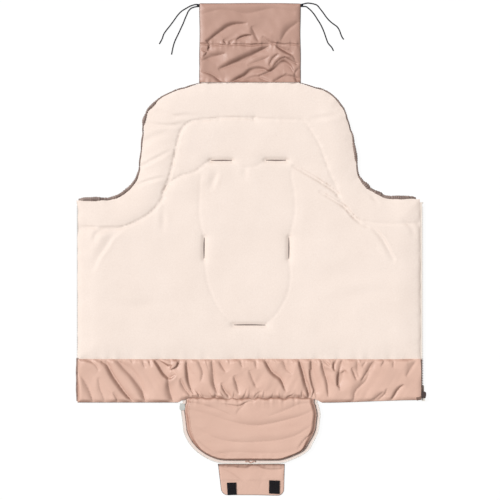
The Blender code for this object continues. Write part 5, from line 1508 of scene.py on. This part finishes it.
def flap_under(points):
    distance = loop_distance(points, flap_loop())
    x, y = points[:, 0], points[:, 1]
    puff = FLAP_FILL + folds(points, FLAP_FOLDS_PX, 2.3, (FLAP_START_Y,), 1.75)
    puff += 1.1 * MM * layered_noise(x + 0.5 * y, y, 28 * MM, 191, 2)
    from_seam = np.abs(y - FLAP_SEAM_Y - 1.6 * MM * noise(x, y * 0, 17 * MM, 194))
    puff += 1.9 * MM * noise(x, y * 0.2, 6.5 * MM, 192) * fade(from_seam, 7 * MM)
    puff += 2.0 * MM * noise(x, y * 0.3, 8 * MM, 193) * fade(y - FLAP_START_Y, 9 * MM)
    puff = puff * roll(distance + 2 * MM, 17 * MM) * (1 - 0.5 * hill(from_seam, 2.4 * MM))
    return flap_base(points) + SHELL + GAP + eased_above(puff, 0.2 * MM, 0.6 * MM)


def make_flap():
    before, past = FLAP_HINGE
    hinge = "root", "flap", (0, FLAP_START_Y - before, 0), (0, FLAP_START_Y + past, 0)
    seam = np.array([(-FLAP_HALF_WIDTH, FLAP_SEAM_Y), (FLAP_HALF_WIDTH, FLAP_SEAM_Y)])
    front, back = two_cloths("flap_front_satin", "flap_back_satin", flap_loop(), flap_under, flap_back,
                             DARK_SATIN, [seam] + fold_lines(FLAP_FOLDS_PX))
    dress(front, "dark_satin", hinge, "flap_front")
    dress(back, "dark_satin", hinge, "flap_back")
    # A dark binding along the flap's edge, set just outside it; its dark colour is also painted shade for the
    # turned edge
    rim = resampled(flap_loop(), BINDING_STEP)
    path = raised(warp(offset(rim, -FLAP_BINDING_IN)), flap_base(rim) + SHELL + 0.9 * MM)
    dress(swept_tube("flap_edge_binding_shade", path, FLAP_BINDING_SHADE, EDGE_TAPE, 8), "binding", hinge)
    # Painted shadow: a dark strip where the lining's edge meets the flap
    lap_y = FLAP_START_Y + LAP_IN
    lap = resampled(np.array([(-FLAP_HALF_WIDTH, lap_y), (FLAP_HALF_WIDTH, lap_y)]), BINDING_STEP)
    path = raised(warp(lap), flap_under(lap) + CLOTH + 0.2 * MM)
    dress(swept_tube("flap_lap_shadow_strip", path, LAP_SHADOW_STRIP, EDGE_TAPE, 8), "binding", hinge)
    for side, name in SIDES:
        sleeve = smooth_line([(side * x, y, CORD_Z) for x, y in SLEEVE_LINE], 0.6 * MM)
        dress(swept_tube("cord_sleeve_" + name, sleeve, cord_sleeve, CORD, 16, 0.5), "cord", "flap")


def cord_sleeve(along, angle):
    share = along / along.max()
    return (3.0 - 0.7 * share ** 2 + 0.12 * np.sin(8 * angle + along / (1 * MM))) * MM


# Stage and light
def make_floor():
    finish = Finish("floor", (0.9, 0.9, 0.9), 0.9, specular=0.0)
    tree = finish.material.node_tree
    path = tree.nodes.new("ShaderNodeLightPath")
    seen = finish.maths("MAXIMUM", path.outputs["Is Camera Ray"], path.outputs["Is Glossy Ray"])
    seen = finish.maths("MAXIMUM", seen, path.outputs["Is Transmission Ray"])
    share = finish.maths("MULTIPLY", seen, FLOOR_SHOWN_WHITE)
    white = finish.add("ShaderNodeEmission", Color=(*WHITE, 1), Strength=FLOOR_GLOW)
    mix = tree.nodes.new("ShaderNodeMixShader")
    tree.links.new(share, mix.inputs["Fac"])
    tree.links.new(finish.shader.outputs["BSDF"], mix.inputs[1])
    tree.links.new(white.outputs["Emission"], mix.inputs[2])
    tree.links.new(mix.outputs["Shader"], tree.nodes["Material Output"].inputs["Surface"])
    corners = [(x * FLOOR_HALF, y * FLOOR_HALF, 0) for x, y in ((-1, -1), (1, -1), (1, 1), (-1, 1))]
    floor = link_object("floor", mesh_from("floor", corners, [(0, 1, 2, 3)]), finish.material)
    floor.location.z = -FLOOR_DROP


def make_light():
    data = bpy.data.lights.new("key", "SUN")
    data.energy = KEY_STRENGTH
    data.angle = math.radians(KEY_SPREAD_DEG)
    lamp = bpy.data.objects.new("key", data)
    bpy.context.scene.collection.objects.link(lamp)
    lamp.location = KEY_FROM
    lamp.rotation_euler = (-lamp.location).to_track_quat("-Z", "Y").to_euler()
    world = bpy.data.worlds.new("studio")
    bpy.context.scene.world = world
    world.use_nodes = True
    background = world.node_tree.nodes["Background"]
    background.inputs["Color"].default_value = (*WHITE, 1)
    background.inputs["Strength"].default_value = WORLD_LEVEL
    bpy.context.scene.view_settings.view_transform = "Standard"


make_camera()
make_cords()
make_body()
make_slots()
make_casings()
make_hems()
make_band_edge()
make_hem_end()
make_foot_panel()
make_tab()
make_flap()
paint_frame_parts()
make_floor()
make_light()
